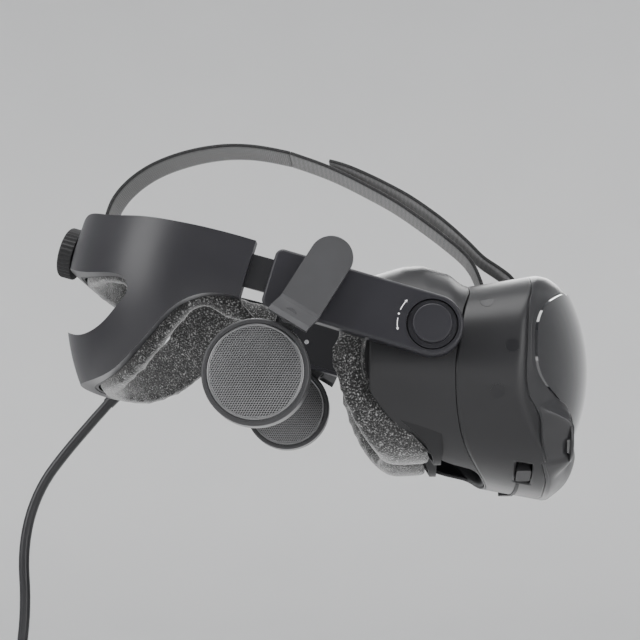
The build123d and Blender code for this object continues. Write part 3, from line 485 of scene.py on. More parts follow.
@dataclass
class OverheadStrap:
    """Webbing over the head in two lengths that meet at the crown."""

    half_width: float = 13.0 * MM
    thickness: float = 2.0 * MM
    rear_line: tuple = ((-76.4, 43.5), (-74.6, 53.9), (-73.8, 58.5), (-71.0, 66.8), (-64.7, 75.5),
                        (-56.0, 83.2), (-44.9, 89.9), (-29.1, 95.6), (-13.7, 98.8), (1.7, 100.1),
                        (21.4, 98.2), (36.8, 94.1))
    front_line: tuple = ((36.8, 94.1), (52.1, 88.6), (67.4, 81.6), (82.6, 73.2), (99.8, 63.2), (117.9, 49.6),
                         (131.2, 38.7), (140.8, 30.0), (146.0, 22.7), (149.3, 14.0), (151.8, 5.5),
                         (155.4, -0.9), (162.0, -2.6), (168.4, -0.4), (170.2, 6.0), (169.4, 14.0),
                         (160.0, 21.5), (151.0, 27.5), (143.8, 36.0), (128.4, 51.0), (110.6, 64.6),
                         (99.3, 71.4), (83.8, 79.8), (68.0, 87.0), (60.4, 88.8))
    rear_bend: tuple = ((-70 * MM, 0, 60 * MM), (15 * MM, 0, 98 * MM))
    front_bend: tuple = ((45 * MM, 0, 92 * MM), (140 * MM, 0, 30 * MM))

    def ribbon(self, shop: Workshop, name: str, line: tuple, steps: int) -> bpy.types.Object:
        """Strip of webbing along a line in the middle plane.

        Args:
            shop: Materials and shared steps.
            name: Name of the piece.
            line: Points in millimetres, X and Z.
            steps: Divisions along the strip.

        Returns:
            The strip.
        """
        path = shop.trace([(x * MM, 0.0, z * MM) for x, z in line])
        bm = bmesh.new()
        bm.loops.layers.uv.new("UVMap")
        bmesh.ops.create_grid(bm, x_segments=steps, y_segments=8, size=0.5, calc_uvs=True)
        for vertex in bm.verts:
            place = at(path, vertex.co.x + 0.5)
            vertex.co = (place.x, vertex.co.y * 2 * self.half_width, place.z)
        strip = shop.piece(name, bm, "webbing")
        shop.modifier(strip, "SOLIDIFY", thickness=self.thickness, offset=0.0)
        shop.modifier(strip, "BEVEL", width=0.45 * MM, segments=2, limit_method="ANGLE")
        return strip

    def build(self, shop: Workshop) -> None:
        """Make both lengths and set them in place of the CAD strap, on no body."""
        rear = self.ribbon(shop, "strap_rear", self.rear_line, 70)
        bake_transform(rear)
        shop.mount(rear, "", "top_strap")
        front = self.ribbon(shop, "strap_front", self.front_line, 190)
        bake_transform(front)
        shop.mount(front, "", "top_strap")


@dataclass
class Padding:
    """A padded piece grown from its plain CAD solid."""

    node: str
    body: str
    name: str
    centre: tuple
    inward_room: float = 4.5 * MM
    outward_room: float = 0.5 * MM
    voxel: float = 4.0 * MM
    shrink: float = 0.9 * MM
    pressure: float = 4.0
    frames: int = 20

    def blank(self, shop: Workshop) -> bpy.types.Object:
        """Evenly meshed copy of the CAD solid, a little smaller than it.

        Returns:
            The object, ready to swell.
        """
        bm = bmesh.new()
        bm.from_mesh(frame["nodes"][self.node].data)
        bmesh.ops.remove_doubles(bm, verts=bm.verts, dist=1e-5)
        raw = shop.piece(self.name + "_raw", bm, "heather_cloth")
        shop.modifier(raw, "REMESH", mode="VOXEL", voxel_size=self.voxel)
        even = bpy.data.meshes.new_from_object(raw.evaluated_get(bpy.context.evaluated_depsgraph_get()))
        bpy.data.objects.remove(raw)
        bm = bmesh.new()
        bm.from_mesh(even)
        axes = {"use_axis_x": True, "use_axis_y": True, "use_axis_z": True}
        bmesh.ops.smooth_vert(bm, verts=bm.verts, factor=0.5, **axes)
        bm.normal_update()
        for vertex in bm.verts:
            vertex.co -= vertex.normal * self.shrink
        return shop.piece(self.name, bm, "heather_cloth")

    def swell(self, obj: bpy.types.Object) -> None:
        """Fill the piece by cloth simulation, and keep it within its room.

        Args:
            obj: The piece to fill.
        """
        cloth = obj.modifiers.new("Cloth", "CLOTH")
        cloth.settings.use_pressure = True
        cloth.settings.uniform_pressure_force = self.pressure
        cloth.settings.effector_weights.gravity = 0.0
        scene = bpy.context.scene
        for number in range(1, self.frames + 1):
            scene.frame_set(number)
        settled = obj.evaluated_get(bpy.context.evaluated_depsgraph_get()).to_mesh()
        centre = Vector(self.centre)
        for vertex, moved in zip(obj.data.vertices, settled.vertices):
            move = moved.co - vertex.co
            inward = (centre - vertex.co).normalized()
            room = self.inward_room if move.dot(inward) > 0 else self.outward_room
            if move.length > room:
                move *= room / move.length
            vertex.co = vertex.co + move
        obj.modifiers.remove(cloth)
        scene.frame_set(1)

    def build(self, shop: Workshop) -> None:
        obj = self.blank(shop)
        self.swell(obj)
        shop.smooth(obj)
        shop.mount(obj, self.body, self.node)


@dataclass
class EarSpeaker:
    """Perforated domed grilles of one ear speaker."""

    side: str
    sign: float
    radius: float = 24.9 * MM
    rise: float = 2.2 * MM
    pitch: float = 1.36 * MM
    wall: float = 0.45 * MM
    sheet: float = 0.5 * MM

    def grille(self, shop: Workshop, face: str, outward: float) -> None:
        """Make one perforated dome.

        Args:
            shop: Materials and shared steps.
            face: Which grille: outer or inner.
            outward: Direction of the dome along Y.
        """
        node = f"speaker_grille_{face}_{self.side}"
        low, high = (Vector(corner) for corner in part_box(node))
        centre = (low + high) / 2
        rim_y = low.y if outward > 0 else high.y
        count = int(2.4 * self.radius / self.pitch)
        bm = bmesh.new()
        bmesh.ops.create_grid(bm, x_segments=count, y_segments=count, size=count * self.pitch / 2)
        slant = Matrix(((1, 0.5, 0), (0, 0.866, 0), (0, 0, 1))).to_4x4()
        bmesh.ops.transform(bm, matrix=slant, verts=bm.verts)
        outside = [f for f in bm.faces if f.calc_center_median().length > self.radius - self.pitch * 0.45]
        bmesh.ops.delete(bm, geom=outside, context="FACES")
        cells = list(bm.faces)
        bmesh.ops.inset_individual(bm, faces=cells, thickness=self.wall / 2)
        bmesh.ops.delete(bm, geom=cells, context="FACES")
        bmesh.ops.remove_doubles(bm, verts=bm.verts, dist=1e-6)
        for vertex in bm.verts:
            share = min(1.0, vertex.co.xy.length / self.radius)
            depth = self.rise * (1 - share * share) + 0.5 * MM
            vertex.co = (centre.x + vertex.co.x, rim_y + outward * depth, centre.z + vertex.co.y)
        mesh = shop.piece(f"grille_{face}_{self.side}", bm, "grille_metal")
        shop.modifier(mesh, "SOLIDIFY", thickness=self.sheet, offset=0.0)
        shop.smooth(mesh)
        shop.mount(mesh, "speaker_" + self.side, node)
        self.edge_ring(shop, face, centre, rim_y, outward)

    def edge_ring(self, shop: Workshop, face: str, centre: Vector, rim_y: float, outward: float) -> None:
        """Folded rim round the perforated dome."""
        bm = bmesh.new()
        profile = [(self.radius - 1.5 * MM, 0.55 * MM), (self.radius - 0.9 * MM, 1.1 * MM),
                   (self.radius + 0.2 * MM, 1.0 * MM), (self.radius + 0.2 * MM, 0.1 * MM)]
        corners = [bm.verts.new((centre.x + r, rim_y + outward * h, centre.z)) for r, h in profile]
        edges = [bm.edges.new(pair) for pair in zip(corners, corners[1:])]
        bmesh.ops.spin(bm, geom=corners + edges, cent=centre, axis=(0, 1, 0), angle=2 * math.pi, steps=96,
                       use_merge=True)
        bmesh.ops.remove_doubles(bm, verts=bm.verts, dist=1e-6)
        bmesh.ops.recalc_face_normals(bm, faces=bm.faces)
        ring = shop.piece(f"grille_rim_{face}_{self.side}", bm, "grille_metal")
        shop.modifier(ring, "SOLIDIFY", thickness=0.3 * MM, offset=-1.0)
        shop.mount(ring, "speaker_" + self.side)

    def build(self, shop: Workshop) -> None:
        """Make both grilles."""
        self.grille(shop, "outer", self.sign)
        self.grille(shop, "inner", -self.sign)


Chain = tuple[tuple[float, float], ...]


def lookup(table: Chain, value: float) -> float:
    """Read a table of pairs by straight lines between them."""
    if value <= table[0][0]:
        return table[0][1]
    for (low, first), (high, second) in zip(table, table[1:]):
        if value <= high:
            return first + (second - first) * (value - low) / (high - low)
    return table[-1][1]


def weave(points: list[Vector], before: Vector, after: Vector, steps: int) -> list[Vector]:
    """Smooth line through every given point.

    Args:
        points: Points that the line passes through.
        before: Point that gives the line's direction at its start.
        after: Point that gives its direction at its end.
        steps: Steps between two points.

    Returns:
        Points along the line.
    """
    dense = []
    chain = [before, *points, after]
    for a, b, c, d in zip(chain, chain[1:], chain[2:], chain[3:]):
        for step in range(steps):
            t = step / steps
            bend = (2 * a - 5 * b + 4 * c - d) * t * t + (3 * b - a - 3 * c + d) * t ** 3
            dense.append((2 * b + (c - a) * t + bend) / 2)
    return [*dense, points[-1]]


def half_outline(chain: Chain) -> list[Vector]:
    """Smooth half of an outline that is the same on both sides of the middle plane."""
    points = [Vector(pair) for pair in chain]
    mirror = Vector((-1, 1))
    return weave(points, points[1] * mirror, points[-2] * mirror, 12)


class VisorForm:
    """Outer form of the visor: outlines across it that taper along it. Works in millimetres."""

    WAIST = -38.0
    TURN_X = 110.0
    BLEND = (128.0, 141.0)
    LOW_END = -98.0
    LOW = ((82.3, -53.0), (78.5, -68.0), (71.0, -82.0), (60.5, -94.5), (45.0, -105.0), (25.0, -112.0),
           (0, -114.0))
    TOP = ((0, 13.2), (20, 12.2), (40, 9.0), (54, 5.0), (64, -1.0), (73, -10.0), (79.5, -22.0), (82.5, -38.0))
    BROW = ((0, 20.0), (20, 18.5), (40, 13.5), (54, 8.3), (66, -0.5), (75, -12.0), (80.3, -24.0),
            (82.5, -38.0))
    COVER = ((0, 1.5), (25, 0.7), (45, -2.8), (57, -7.5), (68, -14.5), (75, -25.0), (77.2, -36.0),
             (76.6, -46.0), (73.0, -54.0), (65.0, -60.5), (52.0, -67.0), (42.0, -71.5), (34.0, -79.0),
             (26.0, -87.0),
             (14.0, -91.0), (0, -92.0))
    TOP_SCALE = ((60, 0.614), (177, 1.0), (184, 0.985), (190, 0.95), (200, 0.80))
    BROW_SCALE = ((60, 0.80), (90, 0.956), (104, 1.03), (115, 1.035), (128, 0.956), (141, 0.90))
    LOW_SCALE = ((60, 0.69), (184, 1.0), (200, 1.0))
    FRONT = ((-120.0, 60.0), (-116.0, 70.0), (-111.0, 79.0), (-105.5, 85.0), (-99.0, 88.8), (-92.0, 91.0),
             (-84.0, 92.3), (-74.0, 93.9), (-63.0, 96.3), (-52.0, 98.3), (-38.0, 99.4), (-24.0, 98.3),
             (-12.0, 95.8), (-4.0, 92.3), (1.5, 90.0), (5.8, 87.0), (8.5, 83.5), (11.3, 79.0), (15.0, 70.0),
             (17.5, 60.0))
    REAR_EDGE = ((-112.0, 155.0), (-100.7, 141.8), (-97.3, 129.6), (-91.8, 116.7), (-80.9, 101.5),
                 (-67.7, 89.3), (-58.4, 84.6), (-36.4, 84.8), (-15.0, 85.0), (30.0, 88.0))
    SEAM = ((-125.0, 165.0), (-110.0, 152.0), (-101.0, 143.7), (-92.3, 137.4), (-83.5, 133.4), (-72.0, 131.0),
            (-60.0, 130.1), (-47.0, 130.3), (-37.0, 131.8), (-20.0, 135.0), (-13.8, 136.7), (-7.0, 138.9),
            (0.0, 139.5), (30.0, 140.0))
    BEZEL_SEAM = ((-125.0, 188.0), (-108.0, 184.3), (-102.0, 181.3), (-94.0, 178.0), (-87.1, 176.1),
                  (-76.0, 175.6), (-70.0, 173.0), (-63.6, 168.8), (-51.7, 167.5), (-29.9, 168.9),
                  (-12.3, 170.9), (-2.3, 173.1), (30.0, 173.6))

    def __init__(self) -> None:
        """Smooth the outlines and the tables once."""
        self.housing = half_outline(self.TOP + self.LOW)
        self.brow = half_outline(self.BROW + self.LOW)
        self.cover = half_outline(self.COVER)
        self.front = self.smooth_table(self.FRONT)
        self.rear_edge = self.smooth_table(self.REAR_EDGE)
        self.seam = self.smooth_table(self.SEAM)
        self.bezel_seam = self.smooth_table(self.BEZEL_SEAM)

    @staticmethod
    def smooth_table(table: Chain) -> Chain:
        """Table with smooth steps between its rows."""
        points = [Vector(pair) for pair in table]
        before = 2 * points[0] - points[1]
        after = 2 * points[-1] - points[-2]
        return tuple(tuple(point) for point in weave(points, before, after, 8))

    def share_of(self, y: float, low: bool) -> float:
        """Place round the outline where its half width is y, on its top or its bottom."""
        points = self.housing
        spans = [(b - a).length for a, b in zip(points, points[1:])]
        run = 0.0
        found = 0.0
        for point, span in zip(points, spans):
            if (point.x <= y and not low) or (point.x >= y and low):
                found = run
            elif not low:
                break
            run += span
        return found / sum(spans) / 2

    @staticmethod
    def on_ring(points: list[Vector], share: float) -> tuple[float, float]:
        """Side distance and height at a place round a closed outline."""
        place = at(points, 2 * share if share <= 0.5 else 2 - 2 * share)
        return (-place.x if share <= 0.5 else place.x), place.y

    def skin(self, x: float, share: float, brow: bool = False) -> Vector:
        """Point of the outer surface.

        Args:
            x: Distance along the visor.
            share: Place round the outline.
            brow: Whether it's the raised rear half.

        Returns:
            The point.
        """
        y, z = self.on_ring(self.housing, share)
        over = z - self.WAIST
        height = over * lookup(self.TOP_SCALE if over > 0 else self.LOW_SCALE, x)
        if brow and over > 0:
            raised = (self.on_ring(self.brow, share)[1] - self.WAIST) * lookup(self.BROW_SCALE, x)
            weight = min(1.0, max(0.0, (x - self.BLEND[0]) / (self.BLEND[1] - self.BLEND[0])))
            weight = weight * weight * (3 - 2 * weight)
            height = raised * (1 - weight) + height * weight
        return Vector((x, self.within_front(x, y, self.WAIST + height), self.WAIST + height))

    def within_front(self, x: float, y: float, z: float) -> float:
        """Side distance kept softly inside the rounded front."""
        reach = lookup(self.front, z)
        free = reach * reach - (x - self.TURN_X) ** 2
        limit = math.sqrt(max(free, 1.0))
        soft = 1.6
        wide = abs(y)
        if wide < limit - soft:
            return y
        eased = limit - soft * math.exp(-(wide - limit + soft) / soft)
        return math.copysign(min(wide, eased), y)

    def edge_x(self, table: Chain, share: float, brow: bool = False) -> float:
        """Where an edge line crosses the surface at a place round the outline."""
        x = 150.0
        for _ in range(6):
            x = lookup(table, self.skin(x, share, brow).z)
        return x

    def bezel_start(self, share: float) -> float:
        """Where the bezel's seam runs at a place round the outline, behind the rounded front."""
        x = self.edge_x(self.bezel_seam, share)
        for _ in range(4):
            place = self.skin(x, share)
            if place.z < self.LOW_END:
                x = min(x, self.front_x(place.y, place.z) - 4.0)
        return x

    def side_point(self, x: float, z: float, side: float) -> Vector:
        """Point of one side's surface at a height."""
        low, high = 0.02, 0.48
        for _ in range(18):
            share = (low + high) / 2
            if self.skin(x, share).z > z:
                low = share
            else:
                high = share
        place = self.skin(x, share)
        return Vector((x, side * abs(place.y), place.z))

    def front_x(self, y: float, z: float) -> float:
        """Distance along the visor of its rounded front."""
        reach = lookup(self.front, z)
        return self.TURN_X + math.sqrt(max(reach * reach - y * y, 100.0))


@dataclass
class VisorShells:
    """Moulded shells of the visor: rear half, front half and the bezel with the camera bosses."""

    wall: float = 2.0 * MM
    around: int = 220
    skin_rows: int = 30
    sleeve_rows: int = 3
    sleeve_scale: float = 0.93
    sleeve_reach: float = 10.0
    slot_half: float = 15.0
    slot: tuple = (141.2, 172.2)
    slider_slot: tuple = (163.2, 171.9)
    slider_side: tuple = (33.6, 53.4)
    gap: float = 0.35
    camera: tuple = (50.0, -83.2)
    camera_front: float = 192.6
    camera_hole: float = 10.9
    boss: tuple = (12.6, 23.0)

    def grid(self, rows: int) -> bmesh.types.BMesh:
        """Flat grid to be laid on the form, closed round it later."""
        bm = bmesh.new()
        bmesh.ops.create_grid(bm, x_segments=rows, y_segments=self.around, size=0.5)
        return bm

    @staticmethod
    def close(bm: bmesh.types.BMesh) -> None:
        """Join the grid's two long edges and turn its faces outward."""
        bmesh.ops.scale(bm, vec=(MM, MM, MM), verts=bm.verts)
        bmesh.ops.remove_doubles(bm, verts=bm.verts, dist=1e-6)
        bm.normal_update()
        middle = Vector((0.14, 0.0, -0.045))
        inward = sum(1 for face in bm.faces if face.normal.dot(face.calc_center_median() - middle) < 0)
        if inward > len(bm.faces) / 2:
            bmesh.ops.reverse_faces(bm, faces=bm.faces)

    def shell(self, shop: Workshop, name: str, bm: bmesh.types.BMesh, slot: str, body: str) -> None:
        """Give a skin its wall and mount it in place of its CAD node."""
        self.close(bm)
        piece = shop.piece(name, bm, slot)
        shop.modifier(piece, "SOLIDIFY", thickness=self.wall, offset=-1.0)
        shop.mount(piece, body, name.removeprefix("shell_"))

    def rear_half(self, shop: Workshop, form: VisorForm) -> None:
        """Raised rear half, from the face to the seam, with the sleeve that the front half slides on."""
        bm = self.grid(self.skin_rows + self.sleeve_rows)
        for vertex in bm.verts:
            share = vertex.co.y + 0.5
            row = round((vertex.co.x + 0.5) * (self.skin_rows + self.sleeve_rows))
            seam = form.edge_x(form.seam, share) - self.gap / 2
            rear = min(form.edge_x(form.rear_edge, share, True), seam - 0.6)
            place = form.skin(rear + (seam - rear) * min(1.0, row / self.skin_rows), share, True)
            step = row - self.skin_rows
            vertex.co = self.on_sleeve(form, place, step) if step > 0 else place
            vertex.select = step == 0
        for edge in bm.edges:
            edge.smooth = not all(vertex.select for vertex in edge.verts)
        self.shell(shop, "shell_inner_housing", bm, "housing_satin", "carriage")

    def on_sleeve(self, form: VisorForm, place: Vector, step: int) -> Vector:
        """Point on the sleeve, from the seam's edge inward and then forward."""
        forward = self.sleeve_reach * (step - 1) / (self.sleeve_rows - 1) - 0.4
        height = form.WAIST + (place.z - form.WAIST) * self.sleeve_scale
        return Vector((place.x + forward, place.y * self.sleeve_scale, height))

    def front_half(self, shop: Workshop, form: VisorForm) -> None:
        """Front half with its strap slot and the slot for the lens slider."""
        rows = 24
        bm = self.grid(rows)
        marks = self.marks(form)
        for vertex in bm.verts:
            share = marks[round((vertex.co.y + 0.5) * self.around)]
            start = form.edge_x(form.seam, share) + self.gap / 2
            end = form.bezel_start(share) - self.gap / 2
            low = form.skin((start + end) / 2, share).z < form.WAIST
            first, second = self.slider_slot if low else self.slot
            second = min(second, end - 0.8)
            knots = ((0.0, start), (0.25, first), (23 / rows, second), (1.0, end))
            if low:
                knots = ((0.0, start), (0.5, first), (0.75, second), (1.0, end))
            middle = form.skin((start + end) / 2, share).z
            use = min(1.0, max(0.0, (middle + 20) / 25 if not low else (-80 - middle) / 15))
            done = vertex.co.x + 0.5
            plain = start + (end - start) * done
            vertex.co = form.skin(plain + (lookup(knots, done) - plain) * use, share)
        open_faces = [f for f in bm.faces if self.in_slot(f.calc_center_median())]
        bmesh.ops.delete(bm, geom=open_faces, context="FACES")
        self.shell(shop, "shell_front_housing", bm, "housing_satin", "visor")

    def marks(self, form: VisorForm) -> list[float]:
        """Places round the outline, with lines exactly on the slots' sides."""
        places = [step / self.around for step in range(self.around + 1)]
        top = form.share_of(self.slot_half, False)
        sides = [form.share_of(y, True) for y in self.slider_side]
        for goal in (top, 1 - top, *sides):
            nearest = min(range(len(places)), key=lambda i: abs(places[i] - goal))
            places[nearest] = goal
        return places

    def in_slot(self, place: Vector) -> bool:
        """Whether a face lies in one of the two slots."""
        strap = place.z > 0 and abs(place.y) < self.slot_half and self.slot[0] < place.x < self.slot[1]
        low, high = self.slider_side
        rear, front = self.slider_slot
        slider = place.z < -90 and low < -place.y < high and rear < place.x < front
        return strap or slider

    def bezel_point(self, form: VisorForm, y: float, z: float) -> Vector:
        """Point on the bezel's front, raised where a camera boss stands out."""
        x = form.front_x(y, z)
        away = math.hypot(abs(y) - self.camera[0], z - self.camera[1])
        inner, outer = self.boss
        weight = min(1.0, max(0.0, (outer - away) / (outer - inner)))
        weight = weight * weight * (3 - 2 * weight)
        return Vector((x + (self.camera_front - x) * weight, y, z))

    def bezel_row(self, form: VisorForm, share: float) -> list[Vector]:
        """Points from the bezel's seam over its rounded edge to the cover."""
        seam = form.bezel_start(share) + self.gap / 2
        start = form.skin(seam, share)
        edge = max(form.front_x(start.y, start.z), seam + 2.0)
        side = [form.skin(seam + (edge - seam) * part, share) for part in (0.0, 0.4, 0.8)]
        y, z = form.on_ring(form.cover, share)
        rim = side[-1]
        points = list(side)
        for part in (0.12, 0.35, 0.6, 0.82, 1.0):
            points.append(self.bezel_point(form, rim.y + (y - rim.y) * part, rim.z + (z - rim.z) * part))
        line = weave(points, 2 * points[0] - points[1], 2 * points[-1] - points[-2], 4)
        return [*line, points[-1] - Vector((1.5, 0, 0)), points[-1] - Vector((3.5, 0, 0))]

    def bezel(self, shop: Workshop, form: VisorForm) -> None:
        """Bezel round the cover, with its camera bosses open for the cameras."""
        rows = len(self.bezel_row(form, 0.1)) - 1
        bm = self.grid(rows)
        lines = {}
        for vertex in bm.verts:
            column = round((vertex.co.y + 0.5) * self.around)
            if column not in lines:
                lines[column] = self.bezel_row(form, column / self.around)
            vertex.co = lines[column][round((vertex.co.x + 0.5) * rows)]
        holes = [f for f in bm.faces if self.at_camera(f.calc_center_median())]
        bmesh.ops.delete(bm, geom=holes, context="FACES")
        self.shell(shop, "shell_front_bezel", bm, "bezel_satin", "visor")
        for name, side in (("right", -1.0), ("left", 1.0)):
            self.camera_ring(shop, name, side)

    def at_camera(self, place: Vector) -> bool:
        """Whether a face of the bezel lies in a camera's hole."""
        away = math.hypot(abs(place.y) - self.camera[0], place.z - self.camera[1])
        return place.x > 180 and away < self.camera_hole

    def camera_ring(self, shop: Workshop, name: str, side: float) -> None:
        """Rounded ring round one camera's window."""
        y, z = side * self.camera[0], self.camera[1]
        profile = ((9.95, 192.0), (10.0, 193.1), (10.9, 193.5), (12.2, 193.3), (13.4, 192.8), (13.9, 191.6),
                   (12.6, 191.4), (10.4, 191.4))
        bm = bmesh.new()
        corners = [bm.verts.new((x * MM, y * MM, (z + radius) * MM)) for radius, x in profile]
        edges = [bm.edges.new(pair) for pair in zip(corners, corners[1:] + corners[:1])]
        bmesh.ops.spin(bm, geom=corners + edges, cent=(0, y * MM, z * MM), axis=(1, 0, 0), angle=2 * math.pi,
                       steps=72, use_merge=True)
        bmesh.ops.remove_doubles(bm, verts=bm.verts, dist=1e-6)
        bmesh.ops.recalc_face_normals(bm, faces=bm.faces)
        ring = shop.piece("camera_ring_" + name, bm, "bezel_satin")
        shop.modifier(ring, "BEVEL", width=0.2 * MM, segments=2, limit_method="ANGLE")
        shop.mount(ring, "visor")

    def build(self, shop: Workshop) -> None:
        """Make the three shells."""
        form = VisorForm()
        self.rear_half(shop, form)
        self.front_half(shop, form)
        self.bezel(shop, form)


@dataclass
class SensorMarks:
    """Faint round windows of the position sensors, flush in the visor's sides."""

    spots: tuple = ((148.0, -12.0), (152.0, -62.0), (160.0, -38.0))
    radius: float = 3.7
    film: float = 0.25 * MM

    def build(self, shop: Workshop) -> None:
        """Lay every window on the visor's form."""
        form = VisorForm()
        bm = bmesh.new()
        for side in (-1.0, 1.0):
            for x, z in self.spots:
                made = bmesh.ops.create_circle(bm, cap_ends=True, segments=28, radius=self.radius)
                for vertex in made["verts"]:
                    vertex.co = form.side_point(x + vertex.co.x, z + vertex.co.y, side)
        bmesh.ops.scale(bm, vec=(MM, MM, MM), verts=bm.verts)
        bmesh.ops.recalc_face_normals(bm, faces=bm.faces)
        marks = shop.piece("sensor_marks", bm, "window_gloss")
        marks.data.shade_flat()
        marks.data.materials[0] = shop.sensor
        shop.modifier(marks, "SOLIDIFY", thickness=self.film, offset=0.0)
        shop.mount(marks, "visor", "sensor_windows")


@dataclass
class DialPrint:
    """Printed turning arrows and the middle dot beside the dial."""

    centre: tuple = (117.992 * MM, -28.205 * MM)
    surface_y: float = -92.0 * MM
    radius: float = 18.3 * MM
    line: float = 0.4 * MM
    head_size: float = 0.85 * MM
    film: float = 0.06 * MM
    arcs: tuple = ((155.0, 137.0), (169.0, 187.0))
    dot_angle: float = 162.0

    def spot(self, angle: float, radius: float) -> Vector:
        """Place on the arm's face at an angle and radius about the dial."""
        turn = math.radians(angle)
        x = self.centre[0] + radius * math.cos(turn)
        return Vector((x, self.surface_y, self.centre[1] + radius * math.sin(turn)))

    def arc(self, bm: bmesh.types.BMesh, start: float, end: float) -> None:
        """Add one curved line."""
        made = bmesh.ops.create_grid(bm, x_segments=14, y_segments=1, size=0.5)
        for vertex in made["verts"]:
            angle = start + (end - start) * (vertex.co.x + 0.5)
            vertex.co = self.spot(angle, self.radius + vertex.co.y * self.line)

    def head(self, bm: bmesh.types.BMesh, angle: float, toward: float) -> None:
        """Add an arrow head at an angle, pointing along the arc."""
        made = bmesh.ops.create_circle(bm, cap_ends=True, segments=3, radius=self.head_size)
        heading = math.radians(angle + 90.0 * toward)
        turn = Matrix.Rotation(-heading + math.pi / 2, 4, "Y") @ Matrix.Rotation(math.pi / 2, 4, "X")
        place = Matrix.Translation(self.spot(angle, self.radius))
        bmesh.ops.transform(bm, matrix=place @ turn, verts=made["verts"])

    def build(self, shop: Workshop) -> None:
        """Make the print as a thin film on the arm."""
        bm = bmesh.new()
        for start, end in self.arcs:
            self.arc(bm, start, end)
            self.head(bm, end, math.copysign(1.0, end - start))
        made = bmesh.ops.create_circle(bm, cap_ends=True, segments=20, radius=0.5 * MM)
        place = Matrix.Translation(self.spot(self.dot_angle, self.radius))
        bmesh.ops.transform(bm, matrix=place @ Matrix.Rotation(math.pi / 2, 4, "X"), verts=made["verts"])
        bmesh.ops.recalc_face_normals(bm, faces=bm.faces)
        film = shop.piece("dial_print", bm, "arm_satin")
        film.data.materials[0] = shop.print
        shop.modifier(film, "SOLIDIFY", thickness=self.film * 2, offset=0.0)
        shop.mount(film, "headband")


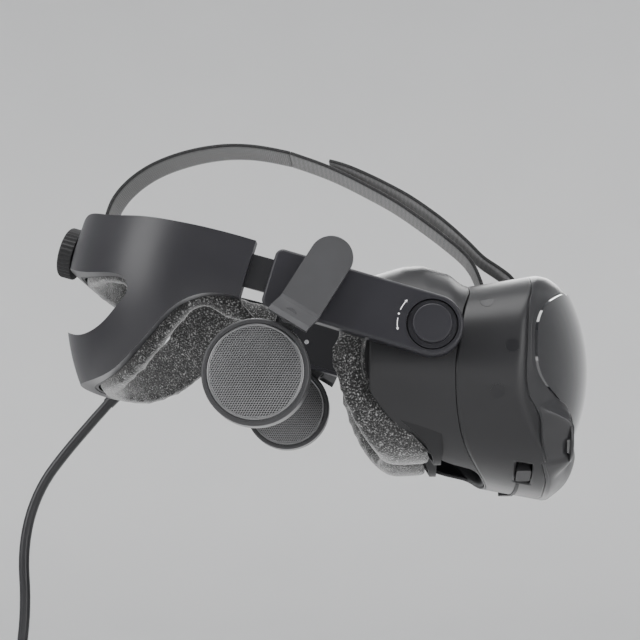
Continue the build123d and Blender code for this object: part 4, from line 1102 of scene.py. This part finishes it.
@dataclass
class Stage:
    """Pale floor and backdrop, soft studio lights and the camera."""

    floor_z: float = -345.0 * MM
    lens: float = 72.0
    place: tuple = (0.09483, -0.74952, -0.15945)
    azimuth: float = 3.1
    elevation: float = -11.5
    aim: tuple = (0.03, 0.0, -0.03)

    def camera(self) -> None:
        """Set the camera up at its viewing angle."""
        data = bpy.data.cameras.new("camera")
        data.lens = self.lens
        data.sensor_width = 36.0
        data.clip_end = 50.0
        camera = bpy.data.objects.new("camera", data)
        bpy.context.scene.collection.objects.link(camera)
        turn = math.radians(self.azimuth)
        tilt = math.radians(self.elevation)
        back = Vector((math.sin(turn) * math.cos(tilt), -math.cos(turn) * math.cos(tilt), math.sin(tilt)))
        camera.location = self.place
        camera.rotation_euler = back.to_track_quat("Z", "Y").to_euler()
        bpy.context.scene.camera = camera

    def light(self, name: str, place: tuple, size: tuple, power: float) -> None:
        """Add one soft box that looks at the middle of the headset.

        Args:
            name: Name of the light.
            place: Where it stands.
            size: Its width and height.
            power: Watts.
        """
        data = bpy.data.lights.new(name, "AREA")
        data.shape = "RECTANGLE"
        data.size, data.size_y = size
        data.energy = power
        lamp = bpy.data.objects.new(name, data)
        bpy.context.scene.collection.objects.link(lamp)
        lamp.location = place
        lamp.rotation_euler = (Vector(place) - Vector(self.aim)).to_track_quat("Z", "Y").to_euler()

    def sweep(self) -> None:
        """Round floor that curves up into a backdrop on every side."""
        low = self.floor_z
        profile = [(0.0, low), (2.6, low), (3.1, low + 0.05), (3.5, low + 0.25), (3.75, low + 0.6),
                   (3.8, low + 3.2)]
        bm = bmesh.new()
        corners = [bm.verts.new((x, 0.0, z)) for x, z in profile]
        edges = [bm.edges.new(pair) for pair in zip(corners, corners[1:])]
        bmesh.ops.spin(bm, geom=corners + edges, cent=(0, 0, 0), axis=(0, 0, 1), angle=2 * math.pi, steps=96,
                       use_merge=True)
        bmesh.ops.remove_doubles(bm, verts=bm.verts, dist=1e-6)
        mesh = bpy.data.meshes.new("floor")
        bm.to_mesh(mesh)
        bm.free()
        paper = bpy.data.materials.new("paper")
        sheet = NodeSheet(paper)
        tone = sheet.noise(sheet.coordinates(), 3.0, 2.0)
        shade = sheet.blend(tone, (0.78, 0.78, 0.78), (0.82, 0.82, 0.82))
        sheet.join(shade, sheet.shader.inputs["Base Color"])
        sheet.shader.inputs["Roughness"].default_value = 0.9
        mesh.materials.append(paper)
        mesh.shade_smooth()
        floor = bpy.data.objects.new("floor", mesh)
        bpy.context.scene.collection.objects.link(floor)

    def build(self) -> None:
        """Set up everything that isn't the object."""
        self.camera()
        self.sweep()
        world = bpy.data.worlds.new("studio")
        world.use_nodes = True
        world.node_tree.nodes["Background"].inputs[0].default_value = (0.9, 0.92, 0.95, 1.0)
        world.node_tree.nodes["Background"].inputs[1].default_value = 0.5
        bpy.context.scene.world = world
        self.light("top", (-0.1, -0.35, 1.5), (1.6, 0.9), 62.0)
        self.light("left", (-1.3, -0.9, 0.55), (0.7, 1.2), 40.0)
        self.light("right_strip", (1.05, -0.85, 0.15), (0.16, 1.5), 22.0)
        self.light("behind", (0.2, 1.3, 0.9), (1.4, 0.8), 34.0)
        self.light("low_front", (0.2, -1.3, -0.3), (1.6, 0.3), 8.0)


class Headset:
    """The whole headset: every sub-assembly in order, then the finishes of the CAD pieces."""

    def __init__(self) -> None:
        """Set out the sub-assemblies."""
        self.shop = Workshop()
        self.lead = Lead()
        self.parts = [
            OverheadStrap(),
            Padding("rear_pad", "cradle", "pad_rear", (0.0, 0.0, 0.02)),
            Padding("face_cushion", "carriage", "pad_face", (0.0, 0.0, -0.04)),
            EarSpeaker("right", -1.0),
            EarSpeaker("left", 1.0),
            VisorShells(),
            SensorMarks(),
            DialPrint(),
        ]

    def dress_frame(self) -> None:
        """Give every CAD node the material of its slot."""
        for part in frame["record"]["subparts"]:
            mesh = frame["nodes"][part["node"]].data
            mesh.materials.clear()
            mesh.materials.append(self.shop.materials[part["material_slot"]])

    def build(self) -> None:
        """Build it all."""
        self.lead.build(self.shop)
        for part in self.parts:
            part.build(self.shop)
        self.dress_frame()


def main() -> None:
    """Build the stage and the headset."""
    logging.basicConfig(level=logging.INFO, format="%(message)s")
    Stage().build()
    Headset().build()


if __name__ == "__main__":
    main()
